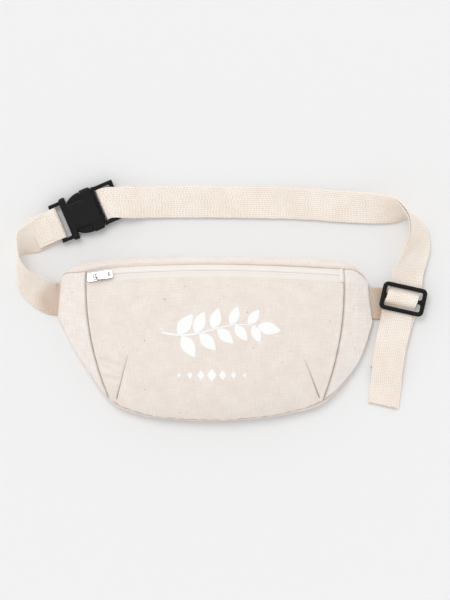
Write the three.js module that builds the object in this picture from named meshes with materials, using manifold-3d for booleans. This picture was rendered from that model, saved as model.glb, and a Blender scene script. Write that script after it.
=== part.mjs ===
// A belt bag of natural canvas that lies on its back, with its webbing belt
// fastened above it in a flattened loop.
// Millimetres, +Z up. The origin is the middle of the flat underside of the
// back panel. +X runs to the wing beside the strap adjuster and +Y to the zip.
import * as THREE from "three";
import { mergeVertices } from "three/addons/utils/BufferGeometryUtils.js";
import Module from "manifold-3d";

const wasm = await Module();
wasm.setup();

// Cloth and clearances
const CANVAS = 1.2; // wall of every canvas panel
const TAPE = 0.7; // wall of the zip tapes
const GAP = 0.3; // between pieces that touch
const WEB_WIDTH = 30;
const WEB_THICK = 1.5;

// Bag body
const BAG_WIDTH = 300; // wing end to wing end
const TOP_RISE = 24.5; // top edge above the mouths of the wing ends
const BOTTOM_DROP = 97; // bottom edge below the mouths of the wing ends
const BAG_DEPTH = 31; // thickness at the middle of the front
const EDGE_HEIGHT = 7; // outline seam above the surface, at the middle
const WEB_LEVEL = 36; // height of the belt's axis in the bag, along Y
const WEB_TILT = -0.764; // degrees that the same axis falls towards +X
const SEAM_BOW = 8.4; // side seams bow outwards this far
const LOWER_ROUND = 2.4; // exponent of the full lower half of a section
const UPPER_ROUND = 3.2; // exponent of the flatter upper half
const END_ROUND = 6; // exponent of the wing ends, nearly a rectangle
const STRIP_HEIGHT = 17; // strip above the zip, at the middle
const RIM_SHOW = 5; // back panel that curls up under the front
const DART_DEPTH = 1.6;
const DART_WIDTH = 5;
const BACK_PRESS = 1.25; // how firmly the back is pressed flat
const TUCK = 13; // belt ends that run into the wings

// Zip
const TAPE_SHOW = 6.8; // width of each tape in view
const TAPE_LAP = 3; // tape hidden under the canvas beside it
const SLIT = 0.5; // between the two tapes
const COIL_WIDTH = 5;
const COIL_THICK = 1.5;
const END_TAB = 4.2; // fold of tape that closes the far end
const SLIDER_LENGTH = 10.5;
const SLIDER_WIDTH = 9;
const SLIDER_PLATE = 1.4;
const SLIDER_CORNER = 2.4;
const SLIDER_INSET = 6.5; // slider's middle from the side seam
const BAIL_PIN = 0.8; // radius of the pin that the pull turns on
const BAIL_WIDTH = 5.6; // over the two ears
const BAIL_EAR = 1; // thickness of each ear
const EAR_LENGTH = 3;
const PIN_INSET = 2.4; // pin from the plate's end
const PULL_LENGTH = 17;
const PULL_WIDTH = 8;
const PULL_THICK = 1.2;
const PULL_WALL = 0.8; // round the pull's eye
const PULL_NECK = 2.6; // from the pin to the wide tab
const PULL_SLOT = 1.8; // cut across the tab's end
const PULL_SLOT_WIDTH = 4.4;
const PULL_SLOT_INSET = 3.4;
const PULL_REST = 8; // degrees that the lying pull dips towards the cloth

// Side release buckle. Its places along the belt count from its left end.
const SOCKET_LENGTH = 33;
const PLUG_SHOW = 22; // plug outside the socket's mouth
const BUCKLE_WIDTH = 42;
const BUCKLE_THICK = 10;
const BUCKLE_OUT = 2.6; // left end beyond the left wing's end
const BUCKLE_UP = 70.4; // and above the belt's axis there
const BUCKLE_TURN = 23; // degrees from +X
const BUCKLE_CORNER = 3;
const BUCKLE_SOFTEN = 1.2;
const BAR_THICK = 3.6; // height of the bars that the belt wraps
const BAR_DEEP = 4.4; // the same bars measured along the belt
const BAR_INSET = 0.8; // left bar from the buckle's left end
const BAR_ROOM = 3; // open slot between the wrapped belt and the socket
const BUCKLE_ARM = 3.4; // width of the arms beside the belt
const SOCKET_ARM_THICK = 5;
const PLUG_ARM_THICK = 5.6;
const BUCKLE_WALL = 1.6;
const SOCKET_END = 3.3; // solid end of the socket
const WINDOW_INSET = 6.5; // side windows from the socket's end
const WINDOW_LENGTH = 15.3;
const PRONG = 5;
const BARB_SINK = 0.8; // barbs inside the socket's outline
const TONGUE = 18; // guide between the prongs
const SILL = 2.3; // shoulder of the plug against the mouth
const SILL_PROUD = 0.6;
const LOOP_ROOM = 0.8; // between the sill and the wrapped belt

// Strap adjuster
const GLIDE_LENGTH = 43; // across the belt
const GLIDE_HEIGHT = 27; // along the belt
const GLIDE_BAR = 4.2;
const GLIDE_THICK = 3;
const GLIDE_CORNER = 5;
const GLIDE_SLOT_CORNER = 1.5;
const GLIDE_SOFTEN = 0.8;
const GLIDE_OUT = 29.1; // middle beyond the right wing's end
const GLIDE_UP = 4; // and above the belt's axis there
const GLIDE_TURN = -12.5; // degrees from +X
const TAIL_LENGTH = 103; // free end beyond the adjuster's middle

// Sections through the bag from the left wing end to the right one.
// foot and head: where the section meets the bottom and top edges, along X,
// as shares of half the width. drop and rise: how far those edges lie beyond
// the wing ends' mouths, as shares of BOTTOM_DROP and TOP_RISE.
// full: share of BAG_DEPTH. bow: share of SEAM_BOW. flat: share of END_ROUND.
// strip and rim: shares of STRIP_HEIGHT and RIM_SHOW.
const SECTIONS = [
  { foot: -0.999, head: -0.983, drop: 0.0, rise: 0.0, full: 0.0, bow: 0.0, flat: 1.0, strip: 0.0, rim: 0.0 },
  { foot: -0.959, head: -0.97, drop: 0.124, rise: 0.202, full: 0.07, bow: -0.12, flat: 0.6, strip: 0.09, rim: 0.1 },
  { foot: -0.906, head: -0.944, drop: 0.283, rise: 0.396, full: 0.18, bow: -0.35, flat: 0.25, strip: 0.25, rim: 0.2 },
  { foot: -0.817, head: -0.893, drop: 0.506, rise: 0.555, full: 0.34, bow: -0.7, flat: 0.08, strip: 0.52, rim: 0.5 },
  { foot: -0.662, head: -0.811, drop: 0.826, rise: 0.746, full: 0.54, bow: -1.0, flat: 0.0, strip: 0.84, rim: 1.1 },
  { foot: -0.488, head: -0.614, drop: 0.945, rise: 0.881, full: 0.74, bow: -0.75, flat: 0.0, strip: 0.9, rim: 1.0 },
  { foot: -0.253, head: -0.317, drop: 0.994, rise: 0.957, full: 0.93, bow: -0.35, flat: 0.0, strip: 0.98, rim: 1.0 },
  { foot: 0.013, head: 0.019, drop: 1.0, rise: 1.0, full: 1.0, bow: 0.0, flat: 0.0, strip: 1.0, rim: 1.0 },
  { foot: 0.285, head: 0.361, drop: 0.968, rise: 0.996, full: 0.95, bow: 0.35, flat: 0.0, strip: 1.0, rim: 1.0 },
  { foot: 0.5, head: 0.64, drop: 0.908, rise: 0.943, full: 0.8, bow: 0.75, flat: 0.0, strip: 0.9, rim: 1.15 },
  { foot: 0.675, head: 0.811, drop: 0.823, rise: 0.865, full: 0.6, bow: 0.95, flat: 0.0, strip: 0.72, rim: 1.4 },
  { foot: 0.817, head: 0.88, drop: 0.615, rise: 0.741, full: 0.38, bow: 0.7, flat: 0.08, strip: 0.47, rim: 0.5 },
  { foot: 0.906, head: 0.921, drop: 0.418, rise: 0.514, full: 0.2, bow: 0.35, flat: 0.25, strip: 0.25, rim: 0.2 },
  { foot: 0.969, head: 0.953, drop: 0.186, rise: 0.28, full: 0.08, bow: 0.12, flat: 0.6, strip: 0.09, rim: 0.1 },
  { foot: 1.0, head: 0.977, drop: 0.0, rise: 0.0, full: 0.0, bow: 0.0, flat: 1.0, strip: 0.0, rim: 0.0 },
];
const LEFT_END = 0; // rows of SECTIONS at the wing ends and side seams
const LEFT_SEAM = 4;
const RIGHT_SEAM = 10;
const RIGHT_END = SECTIONS.length - 1;
const STRIP_START = 1; // rows where the top strip tapers out
const STRIP_STOP = 13;

// Darts at the two lower corners, and the soft dents beside them. Places are
// shares of half the width and of half the height; depth and width are shares
// of DART_DEPTH and DART_WIDTH.
const FOLDS = [
  { x: -0.626, y: -0.728, toX: -0.551, toY: -0.2, depth: 1, width: 1 },
  { x: 0.656, y: -0.695, toX: 0.569, toY: -0.256, depth: 1, width: 1 },
  { x: -0.73, y: -0.22, toX: -0.57, toY: -0.33, depth: 0.55, width: 1.3 },
  { x: -0.71, y: -0.42, toX: -0.59, toY: -0.5, depth: 0.5, width: 1.1 },
  { x: 0.12, y: -0.86, toX: 0.05, toY: -0.6, depth: 0.45, width: 2.2 },
];

// Belt between the left wing and the buckle: the edge that stays low, where
// the width points from it (turn, in degrees from +X) and how steeply it
// stands up (rise, in degrees). out, up: shares of LEFT_REACH and LEFT_CLIMB
// from the middle of the wing's mouth. lift: share of WEB_WIDTH above the
// surface.
const LEFT_REACH = 40;
const LEFT_BEND = 4.4; // climb left for the bend into the buckle
const LEFT_CLIMB = BUCKLE_UP - LEFT_BEND;
const RETURN_LENGTH = 24; // belt turned back over the bar and sewn down
const LEFT_TURN = [
  { out: 0.04, up: -0.217, turn: 88, rise: 1, lift: 0.07 },
  { out: 0.2, up: -0.214, turn: 77, rise: 4, lift: 0.055 },
  { out: 0.45, up: -0.155, turn: 66, rise: 10, lift: 0.04 },
  { out: 0.69, up: -0.05, turn: 56, rise: 22, lift: 0.03 },
  { out: 0.87, up: 0.07, turn: 53, rise: 38, lift: 0.03 },
  { out: 0.955, up: 0.19, turn: 54, rise: 52, lift: 0.03 },
  { out: 0.985, up: 0.32, turn: 58, rise: 62, lift: 0.03 },
  { out: 0.975, up: 0.46, turn: 72, rise: 70, lift: 0.03 },
  { out: 0.925, up: 0.575, turn: 92, rise: 69, lift: 0.03 },
  { out: 0.83, up: 0.64, turn: 108, rise: 57, lift: 0.03 },
  { out: 0.7, up: 0.655, turn: 112, rise: 40, lift: 0.03 },
  { out: 0.54, up: 0.67, turn: 110, rise: 24, lift: 0.035 },
  { out: 0.34, up: 0.71, turn: 111, rise: 11, lift: 0.05 },
  { out: 0.14, up: 0.775, turn: 112.5, rise: 4, lift: 0.07 },
];

// Belt between the adjuster and the buckle, both layers as one. Columns as
// for the left turn, from the middle of the adjuster: out and up are shares of
// BELT_REACH and BELT_CLIMB, and lift counts belt layers below the middle.
const BELT_LEAD = 20.5; // left for the bend into the buckle, along X
const BELT_DROP = 18.9; // and along Y
const LAYER_SPREAD = 0.06; // how fast the layers part before the buckle
const RIGHT_TURN = [
  { out: 0.071, up: 0.145, turn: 168, rise: 0, lift: 3.0 },
  { out: 0.08, up: 0.331, turn: 176, rise: 8, lift: 2.2 },
  { out: 0.097, up: 0.539, turn: 184, rise: 24, lift: 1.5 },
  { out: 0.101, up: 0.686, turn: 188, rise: 38, lift: 1.1 },
  { out: 0.094, up: 0.809, turn: 190, rise: 51, lift: 1.0 },
  { out: 0.077, up: 0.9, turn: 186, rise: 63, lift: 1.0 },
  { out: 0.055, up: 0.968, turn: 168, rise: 71, lift: 1.0 },
  { out: 0.034, up: 1.003, turn: 139, rise: 71, lift: 1.0 },
  { out: 0.013, up: 1.0, turn: 118, rise: 61, lift: 1.0 },
  { out: -0.01, up: 0.968, turn: 109, rise: 46, lift: 1.0 },
  { out: -0.042, up: 0.944, turn: 104, rise: 32, lift: 1.0 },
  { out: -0.089, up: 0.932, turn: 99, rise: 18, lift: 1.0 },
  { out: -0.158, up: 0.932, turn: 94, rise: 7, lift: 1.0 },
  { out: -0.26, up: 0.95, turn: 91, rise: 3, lift: 1.0 },
  { out: -0.393, up: 0.979, turn: 90, rise: 2, lift: 1.0 },
  { out: -0.621, up: 0.995, turn: 90, rise: 1, lift: 1.0 },
  { out: -0.849, up: 0.999, turn: 90, rise: 0, lift: 1.1 },
  { out: -0.975, up: 0.995, turn: 92, rise: 0, lift: 1.7 },
];

// Beside the plug the belt slews towards the long run and covers the lower
// arm. Columns from the plug's middle bar: along is the place of the lower
// edge as a share of PLUG_REACH, across how far it has slid as a share of the
// belt's width, turn its degrees from square, and clear how far it has risen
// from the bar's loop to the arm's clearance.
const PLUG_LEAD = [
  { along: 0.055, across: 0, turn: 2, clear: 0.7 },
  { along: 0.2, across: -0.025, turn: 9, clear: 1 },
  { along: 0.6, across: -0.118, turn: 14.5, clear: 1 },
  { along: 1.075, across: -0.22, turn: 17.3, clear: 1 },
];

// The free end below the adjuster: share of its length, sideways drift as a
// share of TAIL_SWAY, and how many belt layers lie under it.
const LEG_TURN = -14; // degrees of the hidden fold from +X
const FOLD_REACH = 69; // the hidden fold ends this far below the adjuster
const TAIL_SWAY = -2.6;
const TAIL = [
  { along: 0.0, sway: 1.0, layers: 3.0 },
  { along: 0.2, sway: 0.8, layers: 3.0 },
  { along: 0.4, sway: 0.75, layers: 2.7 },
  { along: 0.6, sway: 0.1, layers: 2.1 },
  { along: 0.7, sway: -0.3, layers: 1.4 },
  { along: 0.82, sway: -0.9, layers: 0.2 },
  { along: 1.0, sway: -1.5, layers: 0.0 },
];

const CLOTH = { color: 0xeee4da, roughness: 0.95, metalness: 0 };
const WEBBING = { color: 0xecdfd2, roughness: 0.95, metalness: 0 };
const PLASTIC = { color: 0x2a2a2b, roughness: 0.4, metalness: 0 };
const METAL = { color: 0xd9dadb, roughness: 0.22, metalness: 1 };

const lerp = THREE.MathUtils.lerp;
const clamp = THREE.MathUtils.clamp;
const radians = THREE.MathUtils.degToRad;

// Values worked out from the sizes above
const HALF = BAG_WIDTH / 2;
const LAYER = WEB_THICK + GAP; // one belt layer on the next
const END_DEPTH = 2 * CANVAS + WEB_THICK + 4 * GAP;
const END_MOUTH = WEB_WIDTH + 2 * CANVAS + 6 * GAP;
const HALF_HEIGHT = (END_MOUTH + TOP_RISE + BOTTOM_DROP) / 2;
const WEB_IN_BAG = END_DEPTH / 2;
const webLevel = (x) => WEB_LEVEL + Math.tan(radians(WEB_TILT)) * x;

const LEFT_BAR = BAR_INSET + BAR_DEEP / 2;
const SOCKET_START = LEFT_BAR + BAR_DEEP / 2 + WEB_THICK + 6 * GAP + BAR_ROOM;
const SOCKET_MOUTH = SOCKET_START + SOCKET_LENGTH;
const MALE_BAR = SOCKET_MOUTH + SILL + LOOP_ROOM + WEB_THICK + 2 * GAP + BAR_DEEP / 2;
const BUCKLE_LENGTH = SOCKET_MOUTH + PLUG_SHOW;
const PLUG_REACH = BUCKLE_LENGTH - MALE_BAR;
const ARM_CLEAR = PLUG_ARM_THICK / 2 + 2 * GAP + WEB_THICK / 2; // belt over an arm's middle
const BUCKLE_LEVEL = BUCKLE_THICK / 2 + GAP;
const LOOP_RISE = BAR_THICK / 2 + GAP + WEB_THICK / 2; // wrapped belt above a bar's middle
const ARM_INSIDE = WEB_WIDTH / 2 + 2 * GAP;
const PRONG_THICK = BUCKLE_THICK - 2 * BUCKLE_WALL - 2 * GAP;

// Where the buckle's left end and the adjuster's middle lie in plan
const BUCKLE_PLACE = new THREE.Vector2(-HALF - BUCKLE_OUT, webLevel(-HALF) + BUCKLE_UP);
const GLIDE_PLACE = new THREE.Vector2(HALF + GLIDE_OUT, webLevel(HALF) + GLIDE_UP);
const BASE_LEVEL = WEB_THICK / 2 + GAP;
const GLIDE_LEVEL = BASE_LEVEL + 3 * LAYER + WEB_THICK / 2 + GAP + GLIDE_THICK / 2;
const BELT_REACH =
  GLIDE_PLACE.x - BUCKLE_PLACE.x - BUCKLE_LENGTH * Math.cos(radians(BUCKLE_TURN)) - BELT_LEAD;
const BELT_CLIMB =
  BUCKLE_PLACE.y + BUCKLE_LENGTH * Math.sin(radians(BUCKLE_TURN)) - BELT_DROP - GLIDE_PLACE.y;

// A smooth curve through one column of a table, read at a row number that
// may lie between two rows.
function column(rows, name, at) {
  const last = rows.length - 1;
  const i = clamp(Math.floor(at), 0, last - 1);
  const f = at - i;
  const [a, b, c, d] = [i - 1, i, i + 1, i + 2].map((k) => rows[clamp(k, 0, last)][name]);
  const slopeB = (c - a) / 2;
  const slopeC = (d - b) / 2;
  return (
    b * (2 * f ** 3 - 3 * f ** 2 + 1) +
    c * (3 * f ** 2 - 2 * f ** 3) +
    slopeB * (f ** 3 - 2 * f ** 2 + f) +
    slopeC * (f ** 3 - f ** 2)
  );
}

// Closed mesh from a grid of rings: grid[i] is one ring of points, all rings
// have the same length, and the first and last rings are filled.
function ringSolid(rings) {
  const count = rings[0].length;
  const points = rings.flat().flatMap((p) => [p.x, p.y, p.z]);
  const index = [];
  for (let i = 0; i + 1 < rings.length; i++)
    for (let j = 0; j < count; j++) {
      const a = i * count + j;
      const b = i * count + ((j + 1) % count);
      index.push(a, b, a + count, b, b + count, a + count);
    }
  const lastRing = (rings.length - 1) * count;
  for (let j = 1; j + 1 < count; j++) {
    index.push(0, j + 1, j);
    index.push(lastRing, lastRing + j, lastRing + j + 1);
  }
  return facingOut(points, index);
}

// Closed wall between an outer and an inner grid of points.
function wallSolid(outer, inner) {
  const columns = outer.length;
  const rows = outer[0].length;
  const points = [...outer.flat(), ...inner.flat()].flatMap((p) => [p.x, p.y, p.z]);
  const index = [];
  const far = columns * rows;
  const at = (i, j) => i * rows + j;
  for (let i = 0; i + 1 < columns; i++)
    for (let j = 0; j + 1 < rows; j++) {
      const [a, b, c, d] = [at(i, j), at(i + 1, j), at(i + 1, j + 1), at(i, j + 1)];
      index.push(a, b, c, a, c, d);
      index.push(far + a, far + c, far + b, far + a, far + d, far + c);
    }
  const side = (a, b) => index.push(b, a, far + a, b, far + a, far + b);
  for (let i = 0; i + 1 < columns; i++) {
    side(at(i, 0), at(i + 1, 0));
    side(at(i + 1, rows - 1), at(i, rows - 1));
  }
  for (let j = 0; j + 1 < rows; j++) {
    side(at(0, j + 1), at(0, j));
    side(at(columns - 1, j), at(columns - 1, j + 1));
  }
  return facingOut(points, index);
}

// Turns every face round if the closed mesh would enclose a negative volume.
function facingOut(points, index) {
  let volume = 0;
  const p = (k) => new THREE.Vector3(points[3 * k], points[3 * k + 1], points[3 * k + 2]);
  for (let k = 0; k < index.length; k += 3)
    volume += p(index[k]).dot(p(index[k + 1]).cross(p(index[k + 2])));
  const faces = volume < 0 ? index.toReversed() : index;
  const geometry = new THREE.BufferGeometry();
  geometry.setAttribute("position", new THREE.Float32BufferAttribute(points, 3));
  geometry.setIndex(faces);
  return geometry;
}

function solidOf(geometry) {
  const bare = new THREE.BufferGeometry();
  bare.setAttribute("position", geometry.getAttribute("position"));
  bare.setIndex(geometry.getIndex());
  const merged = mergeVertices(bare, 1e-4);
  return new wasm.Manifold(
    new wasm.Mesh({
      numProp: 3,
      vertProperties: Float32Array.from(merged.getAttribute("position").array),
      triVerts: Uint32Array.from(merged.getIndex().array),
    }),
  );
}

function geometryOf(solid) {
  const mesh = solid.getMesh();
  const geometry = new THREE.BufferGeometry();
  const points = new Float32Array(mesh.numVert * 3);
  for (let i = 0; i < mesh.numVert; i++)
    points.set(mesh.vertProperties.subarray(i * mesh.numProp, i * mesh.numProp + 3), i * 3);
  geometry.setAttribute("position", new THREE.BufferAttribute(points, 3));
  geometry.setIndex(new THREE.BufferAttribute(mesh.triVerts, 1));
  return geometry;
}

const join = (...parts) => geometryOf(parts.map(solidOf).reduce((a, b) => a.add(b)));
const cut = (from, ...tools) =>
  geometryOf(tools.map(solidOf).reduce((a, b) => a.subtract(b), solidOf(from)));

function piece(name, geometry, look) {
  const mesh = new THREE.Mesh(geometry, new THREE.MeshStandardMaterial(look));
  mesh.geometry.computeVertexNormals();
  mesh.name = name;
  return mesh;
}

function block(length, width, height, x, y, z) {
  return new THREE.BoxGeometry(length, width, height).translate(x, y, z);
}

// A plate with rounded corners and softened edges, its middle at the origin.
function roundedPlate(length, width, height, corner, soften, holes = []) {
  const outline = roundedOutline(new THREE.Shape(), length, width, corner);
  outline.holes = holes.map(([l, w, r, x, y]) => roundedOutline(new THREE.Path(), l, w, r, x, y));
  return new THREE.ExtrudeGeometry(outline, {
    depth: height - 2 * soften,
    bevelEnabled: true,
    bevelThickness: soften,
    bevelSize: soften,
    bevelOffset: -soften,
    bevelSegments: 1,
    curveSegments: 4,
  }).translate(0, 0, soften - height / 2);
}

function roundedOutline(path, length, width, corner, x = 0, y = 0) {
  const l = length / 2 - corner;
  const w = width / 2 - corner;
  path.absarc(x + l, y + w, corner, 0, Math.PI / 2);
  path.absarc(x - l, y + w, corner, Math.PI / 2, Math.PI);
  path.absarc(x - l, y - w, corner, Math.PI, 1.5 * Math.PI);
  path.absarc(x + l, y - w, corner, 1.5 * Math.PI, 2 * Math.PI);
  path.closePath();
  return path;
}

// The bag's skin

function sectionSizes(at) {
  const value = (name) => column(SECTIONS, name, at);
  const footX = value("foot") * HALF;
  const headX = value("head") * HALF;
  const full = value("full");
  return {
    foot: new THREE.Vector2(footX, webLevel(footX) - END_MOUTH / 2 - value("drop") * BOTTOM_DROP),
    head: new THREE.Vector2(headX, webLevel(headX) + END_MOUTH / 2 + value("rise") * TOP_RISE),
    depth: lerp(END_DEPTH, BAG_DEPTH, full),
    edge: lerp(END_DEPTH / 2, EDGE_HEIGHT, Math.sqrt(Math.max(full, 0))),
    bow: value("bow") * SEAM_BOW,
    flat: clamp(value("flat"), 0, 1),
    strip: Math.max(value("strip"), 0) * STRIP_HEIGHT,
    rim: Math.max(value("rim"), 0) * RIM_SHOW,
  };
}

// Where a share of the way from foot to head lies in plan: on the straight
// line between them, pushed sideways by the bow.
function planPoint(size, share) {
  const p = size.foot.clone().lerp(size.head, share);
  p.x += size.bow * 4 * share * (1 - share);
  return p;
}

// Depth of the darts and dents at a point in plan: each is a groove that
// fades towards its tip.
function foldDepth(p) {
  const nearest = new THREE.Vector3();
  return FOLDS.reduce((sum, fold) => {
    const from = new THREE.Vector3(fold.x * HALF, fold.y * HALF_HEIGHT, 0);
    const to = new THREE.Vector3(fold.toX * HALF, fold.toY * HALF_HEIGHT, 0);
    const line = new THREE.Line3(from, to);
    const here = new THREE.Vector3(p.x, p.y, 0);
    const along = line.closestPointToPointParameter(here, true);
    const away = line.at(along, nearest).distanceTo(here) / (fold.width * DART_WIDTH);
    return sum + fold.depth * DART_DEPTH * Math.exp(-away * away) * (1 - along ** 2 * 0.9);
  }, 0);
}

// Superellipse from one edge of a section (share 0) over the middle (0.5) to
// the other edge (1): how far across, and how high as a share of the height.
function hump(share, lower, upper) {
  const turn = Math.PI * share;
  const power = share < 0.5 ? lower : upper;
  const across = Math.abs(Math.cos(turn)) ** (2 / power);
  return {
    across: share < 0.5 ? (1 - across) / 2 : (1 + across) / 2,
    high: Math.abs(Math.sin(turn)) ** (2 / power),
  };
}

const SKIN_STEPS = 120;
const curveCache = new Map();

// The front skin's section as a fine line of points with running lengths.
function skinCurve(at) {
  if (!curveCache.has(at)) {
    const size = sectionSizes(at);
    const lower = lerp(LOWER_ROUND, END_ROUND, size.flat);
    const upper = lerp(UPPER_ROUND, END_ROUND, size.flat);
    const points = [];
    const lengths = [0];
    for (let k = 0; k <= SKIN_STEPS; k++) {
      const { across, high } = hump(k / SKIN_STEPS, lower, upper);
      const plan = planPoint(size, across);
      const z = size.edge + (size.depth - size.edge) * high - foldDepth(plan) * high;
      points.push(new THREE.Vector3(plan.x, plan.y, z));
      if (k) lengths.push(lengths[k - 1] + points[k].distanceTo(points[k - 1]));
    }
    curveCache.set(at, { points, lengths, total: lengths[SKIN_STEPS] });
  }
  return curveCache.get(at);
}

// Point on the front skin: a row number and a share of the section's length,
// 0 at the bottom edge and 1 at the top edge.
function skinPoint(at, share) {
  const { points, lengths, total } = skinCurve(at);
  const length = clamp(share, 0, 1) * total;
  let k = lengths.findIndex((l) => l > length);
  if (k < 0) k = SKIN_STEPS;
  k = Math.max(k, 1);
  const f = (length - lengths[k - 1]) / (lengths[k] - lengths[k - 1]);
  return points[k - 1].clone().lerp(points[k], f);
}

// The back: the same foot and head, under the outline instead of over it,
// flat where it would fall below the surface that it lies on.
function backPoint(at, share) {
  const size = sectionSizes(at);
  const round = lerp(UPPER_ROUND, END_ROUND, size.flat);
  const { across, high } = hump(share, round, round);
  const plan = planPoint(size, across);
  return new THREE.Vector3(plan.x, plan.y, size.edge * (1 - Math.min(1, BACK_PRESS * high)));
}

// Outward normal of a surface at (at, share), from four points beside it.
const ROW_STEP = 0.02;
const SHARE_STEP = 0.004;
function normalOf(surface, at, share) {
  const along = surface(Math.min(at + ROW_STEP, RIGHT_END), share).sub(
    surface(Math.max(at - ROW_STEP, LEFT_END), share),
  );
  const across = surface(at, Math.min(share + SHARE_STEP, 1)).sub(
    surface(at, Math.max(share - SHARE_STEP, 0)),
  );
  return along.cross(across).normalize();
}

const skinNormal = (at, share) => normalOf(skinPoint, at, share);
const backNormal = (at, share) => normalOf(backPoint, at, share).negate();

// How many rows of the table a length along the bag is, near one row.
const NEAR = 0.1;
function rowsFor(length, at) {
  const after = skinPoint(clamp(at + NEAR, 0, RIGHT_END), 0.5);
  const before = skinPoint(clamp(at - NEAR, 0, RIGHT_END), 0.5);
  return (length * 2 * NEAR) / after.distanceTo(before);
}

// Lengths along a section from its top edge, as shares from its bottom edge.
const fromTop = (at, length) => 1 - length / skinCurve(at).total;
const crest = (at) => fromTop(at, sectionSizes(at).strip);
const rimEdge = (at) => sectionSizes(at).rim / skinCurve(at).total;
const acrossSkin = (at, length) => length / skinCurve(at).total;

// A wall of the front skin between two rows, from one share to another,
// set in by a depth below the skin's outer face.
function skinPanel(from, to, low, high, columns, rows, thick, below = 0) {
  const outer = [];
  const inner = [];
  for (let i = 0; i <= columns; i++) {
    const at = lerp(from, to, i / columns);
    const bottom = low(at);
    const top = high(at);
    const line = [];
    for (let j = 0; j <= rows; j++) {
      const share = lerp(bottom, top, j / rows);
      line.push([skinPoint(at, share), skinNormal(at, share)]);
    }
    outer.push(line.map(([p, n]) => p.clone().addScaledVector(n, -below)));
    inner.push(line.map(([p, n]) => p.clone().addScaledVector(n, -below - thick)));
  }
  return wallSolid(outer, inner);
}

const seamRow = (row, side) => row + side * rowsFor(GAP / 2, row);
const panelFoot = (at) => rimEdge(at) + acrossSkin(at, 2 * GAP);
const BODY_COLUMNS = 28; // faces of a panel between the two side seams

function frontPanel() {
  const high = (at) => crest(at) - acrossSkin(at, 2 * TAPE_SHOW);
  const start = seamRow(LEFT_SEAM, 1);
  const stop = seamRow(RIGHT_SEAM, -1);
  return skinPanel(start, stop, panelFoot, high, BODY_COLUMNS, 14, CANVAS);
}

function wing(from, to) {
  const high = (at) => crest(at) - acrossSkin(at, GAP);
  return skinPanel(from, to, panelFoot, high, 9, 12, CANVAS);
}

function topStrip() {
  const high = (at) => 1 - acrossSkin(at, GAP);
  return skinPanel(STRIP_START, STRIP_STOP, crest, high, 36, 4, CANVAS);
}

// The back panel runs from the seam under the front, round the bottom edge,
// flat across the back and up to the top edge.
function backPanel() {
  const COLUMNS = 30;
  const ROWS = 16;
  const RIM_ROWS = 2;
  const outer = [];
  const inner = [];
  for (let i = 0; i <= COLUMNS; i++) {
    const at = lerp(LEFT_END, RIGHT_END, i / COLUMNS);
    const line = [];
    const rim = Math.max(rimEdge(at) - acrossSkin(at, GAP / 2), 0);
    for (let j = RIM_ROWS; j > 0; j--) {
      const share = (rim * j) / RIM_ROWS + acrossSkin(at, GAP / 4);
      line.push([skinPoint(at, share), skinNormal(at, share)]);
    }
    for (let j = 0; j <= ROWS; j++) {
      const share = j / ROWS;
      const point = backPoint(at, share);
      const end = Math.min(j, ROWS - j) === 0;
      const normal = backNormal(at, end ? clamp(share, SHARE_STEP, 1 - SHARE_STEP) : share);
      line.push([point, normal]);
    }
    outer.push(line.map(([p]) => p.clone()));
    inner.push(line.map(([p, n]) => p.clone().addScaledVector(n, -CANVAS)));
  }
  return wallSolid(outer, inner);
}

// Zip tapes lie just under the canvas, and the coil under both of them.
function zipTape(side) {
  const middle = (at) => crest(at) - acrossSkin(at, TAPE_SHOW);
  const near = (at) => middle(at) + (side * acrossSkin(at, SLIT)) / 2;
  const far = (at) => middle(at) + side * acrossSkin(at, TAPE_SHOW + TAPE_LAP);
  const [low, high] = side > 0 ? [near, far] : [far, near];
  const start = seamRow(LEFT_SEAM, 1);
  const stop = seamRow(RIGHT_SEAM, -1);
  return skinPanel(start, stop, low, high, BODY_COLUMNS, 2, TAPE, CANVAS + GAP);
}

function zipCoil() {
  const middle = (at) => crest(at) - acrossSkin(at, TAPE_SHOW);
  const low = (at) => middle(at) - acrossSkin(at, COIL_WIDTH / 2);
  const high = (at) => middle(at) + acrossSkin(at, COIL_WIDTH / 2);
  const start = seamRow(LEFT_SEAM, 1);
  const stop = seamRow(RIGHT_SEAM, -1);
  return skinPanel(start, stop, low, high, BODY_COLUMNS, 1, COIL_THICK, CANVAS + TAPE + 2 * GAP);
}

// A fold of tape sewn over the zip's far end, beside the right seam.
function zipEndTab() {
  const low = (at) => crest(at) - acrossSkin(at, 2 * TAPE_SHOW - GAP);
  const high = (at) => crest(at) - acrossSkin(at, GAP);
  const stop = seamRow(RIGHT_SEAM, -1);
  const start = stop - rowsFor(END_TAB, RIGHT_SEAM);
  return skinPanel(start, stop, low, high, 2, 4, CANVAS - GAP / 2, GAP / 2);
}

// Belt

// Solid of a belt along pairs of edge points, with the belt's thickness
// standing at right angles to its width and its run.
function belt(pairs) {
  const middle = pairs.map(([low, high]) => low.clone().lerp(high, 0.5));
  const rings = pairs.map(([low, high], i) => {
    const before = middle[Math.max(i - 1, 0)];
    const after = middle[Math.min(i + 1, pairs.length - 1)];
    const run = after.clone().sub(before);
    const thick = run.cross(high.clone().sub(low)).setLength(WEB_THICK / 2);
    return [
      low.clone().add(thick),
      high.clone().add(thick),
      high.clone().sub(thick),
      low.clone().sub(thick),
    ];
  });
  return ringSolid(rings);
}

// Edge pair from the low edge, the width's direction in plan and its rise.
function edgePair(x, y, z, turn, rise) {
  const low = new THREE.Vector3(x, y, z);
  const flat = Math.cos(radians(rise)) * WEB_WIDTH;
  const high = new THREE.Vector3(
    x + flat * Math.cos(radians(turn)),
    y + flat * Math.sin(radians(turn)),
    z + Math.sin(radians(rise)) * WEB_WIDTH,
  );
  return [low, high];
}

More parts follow.
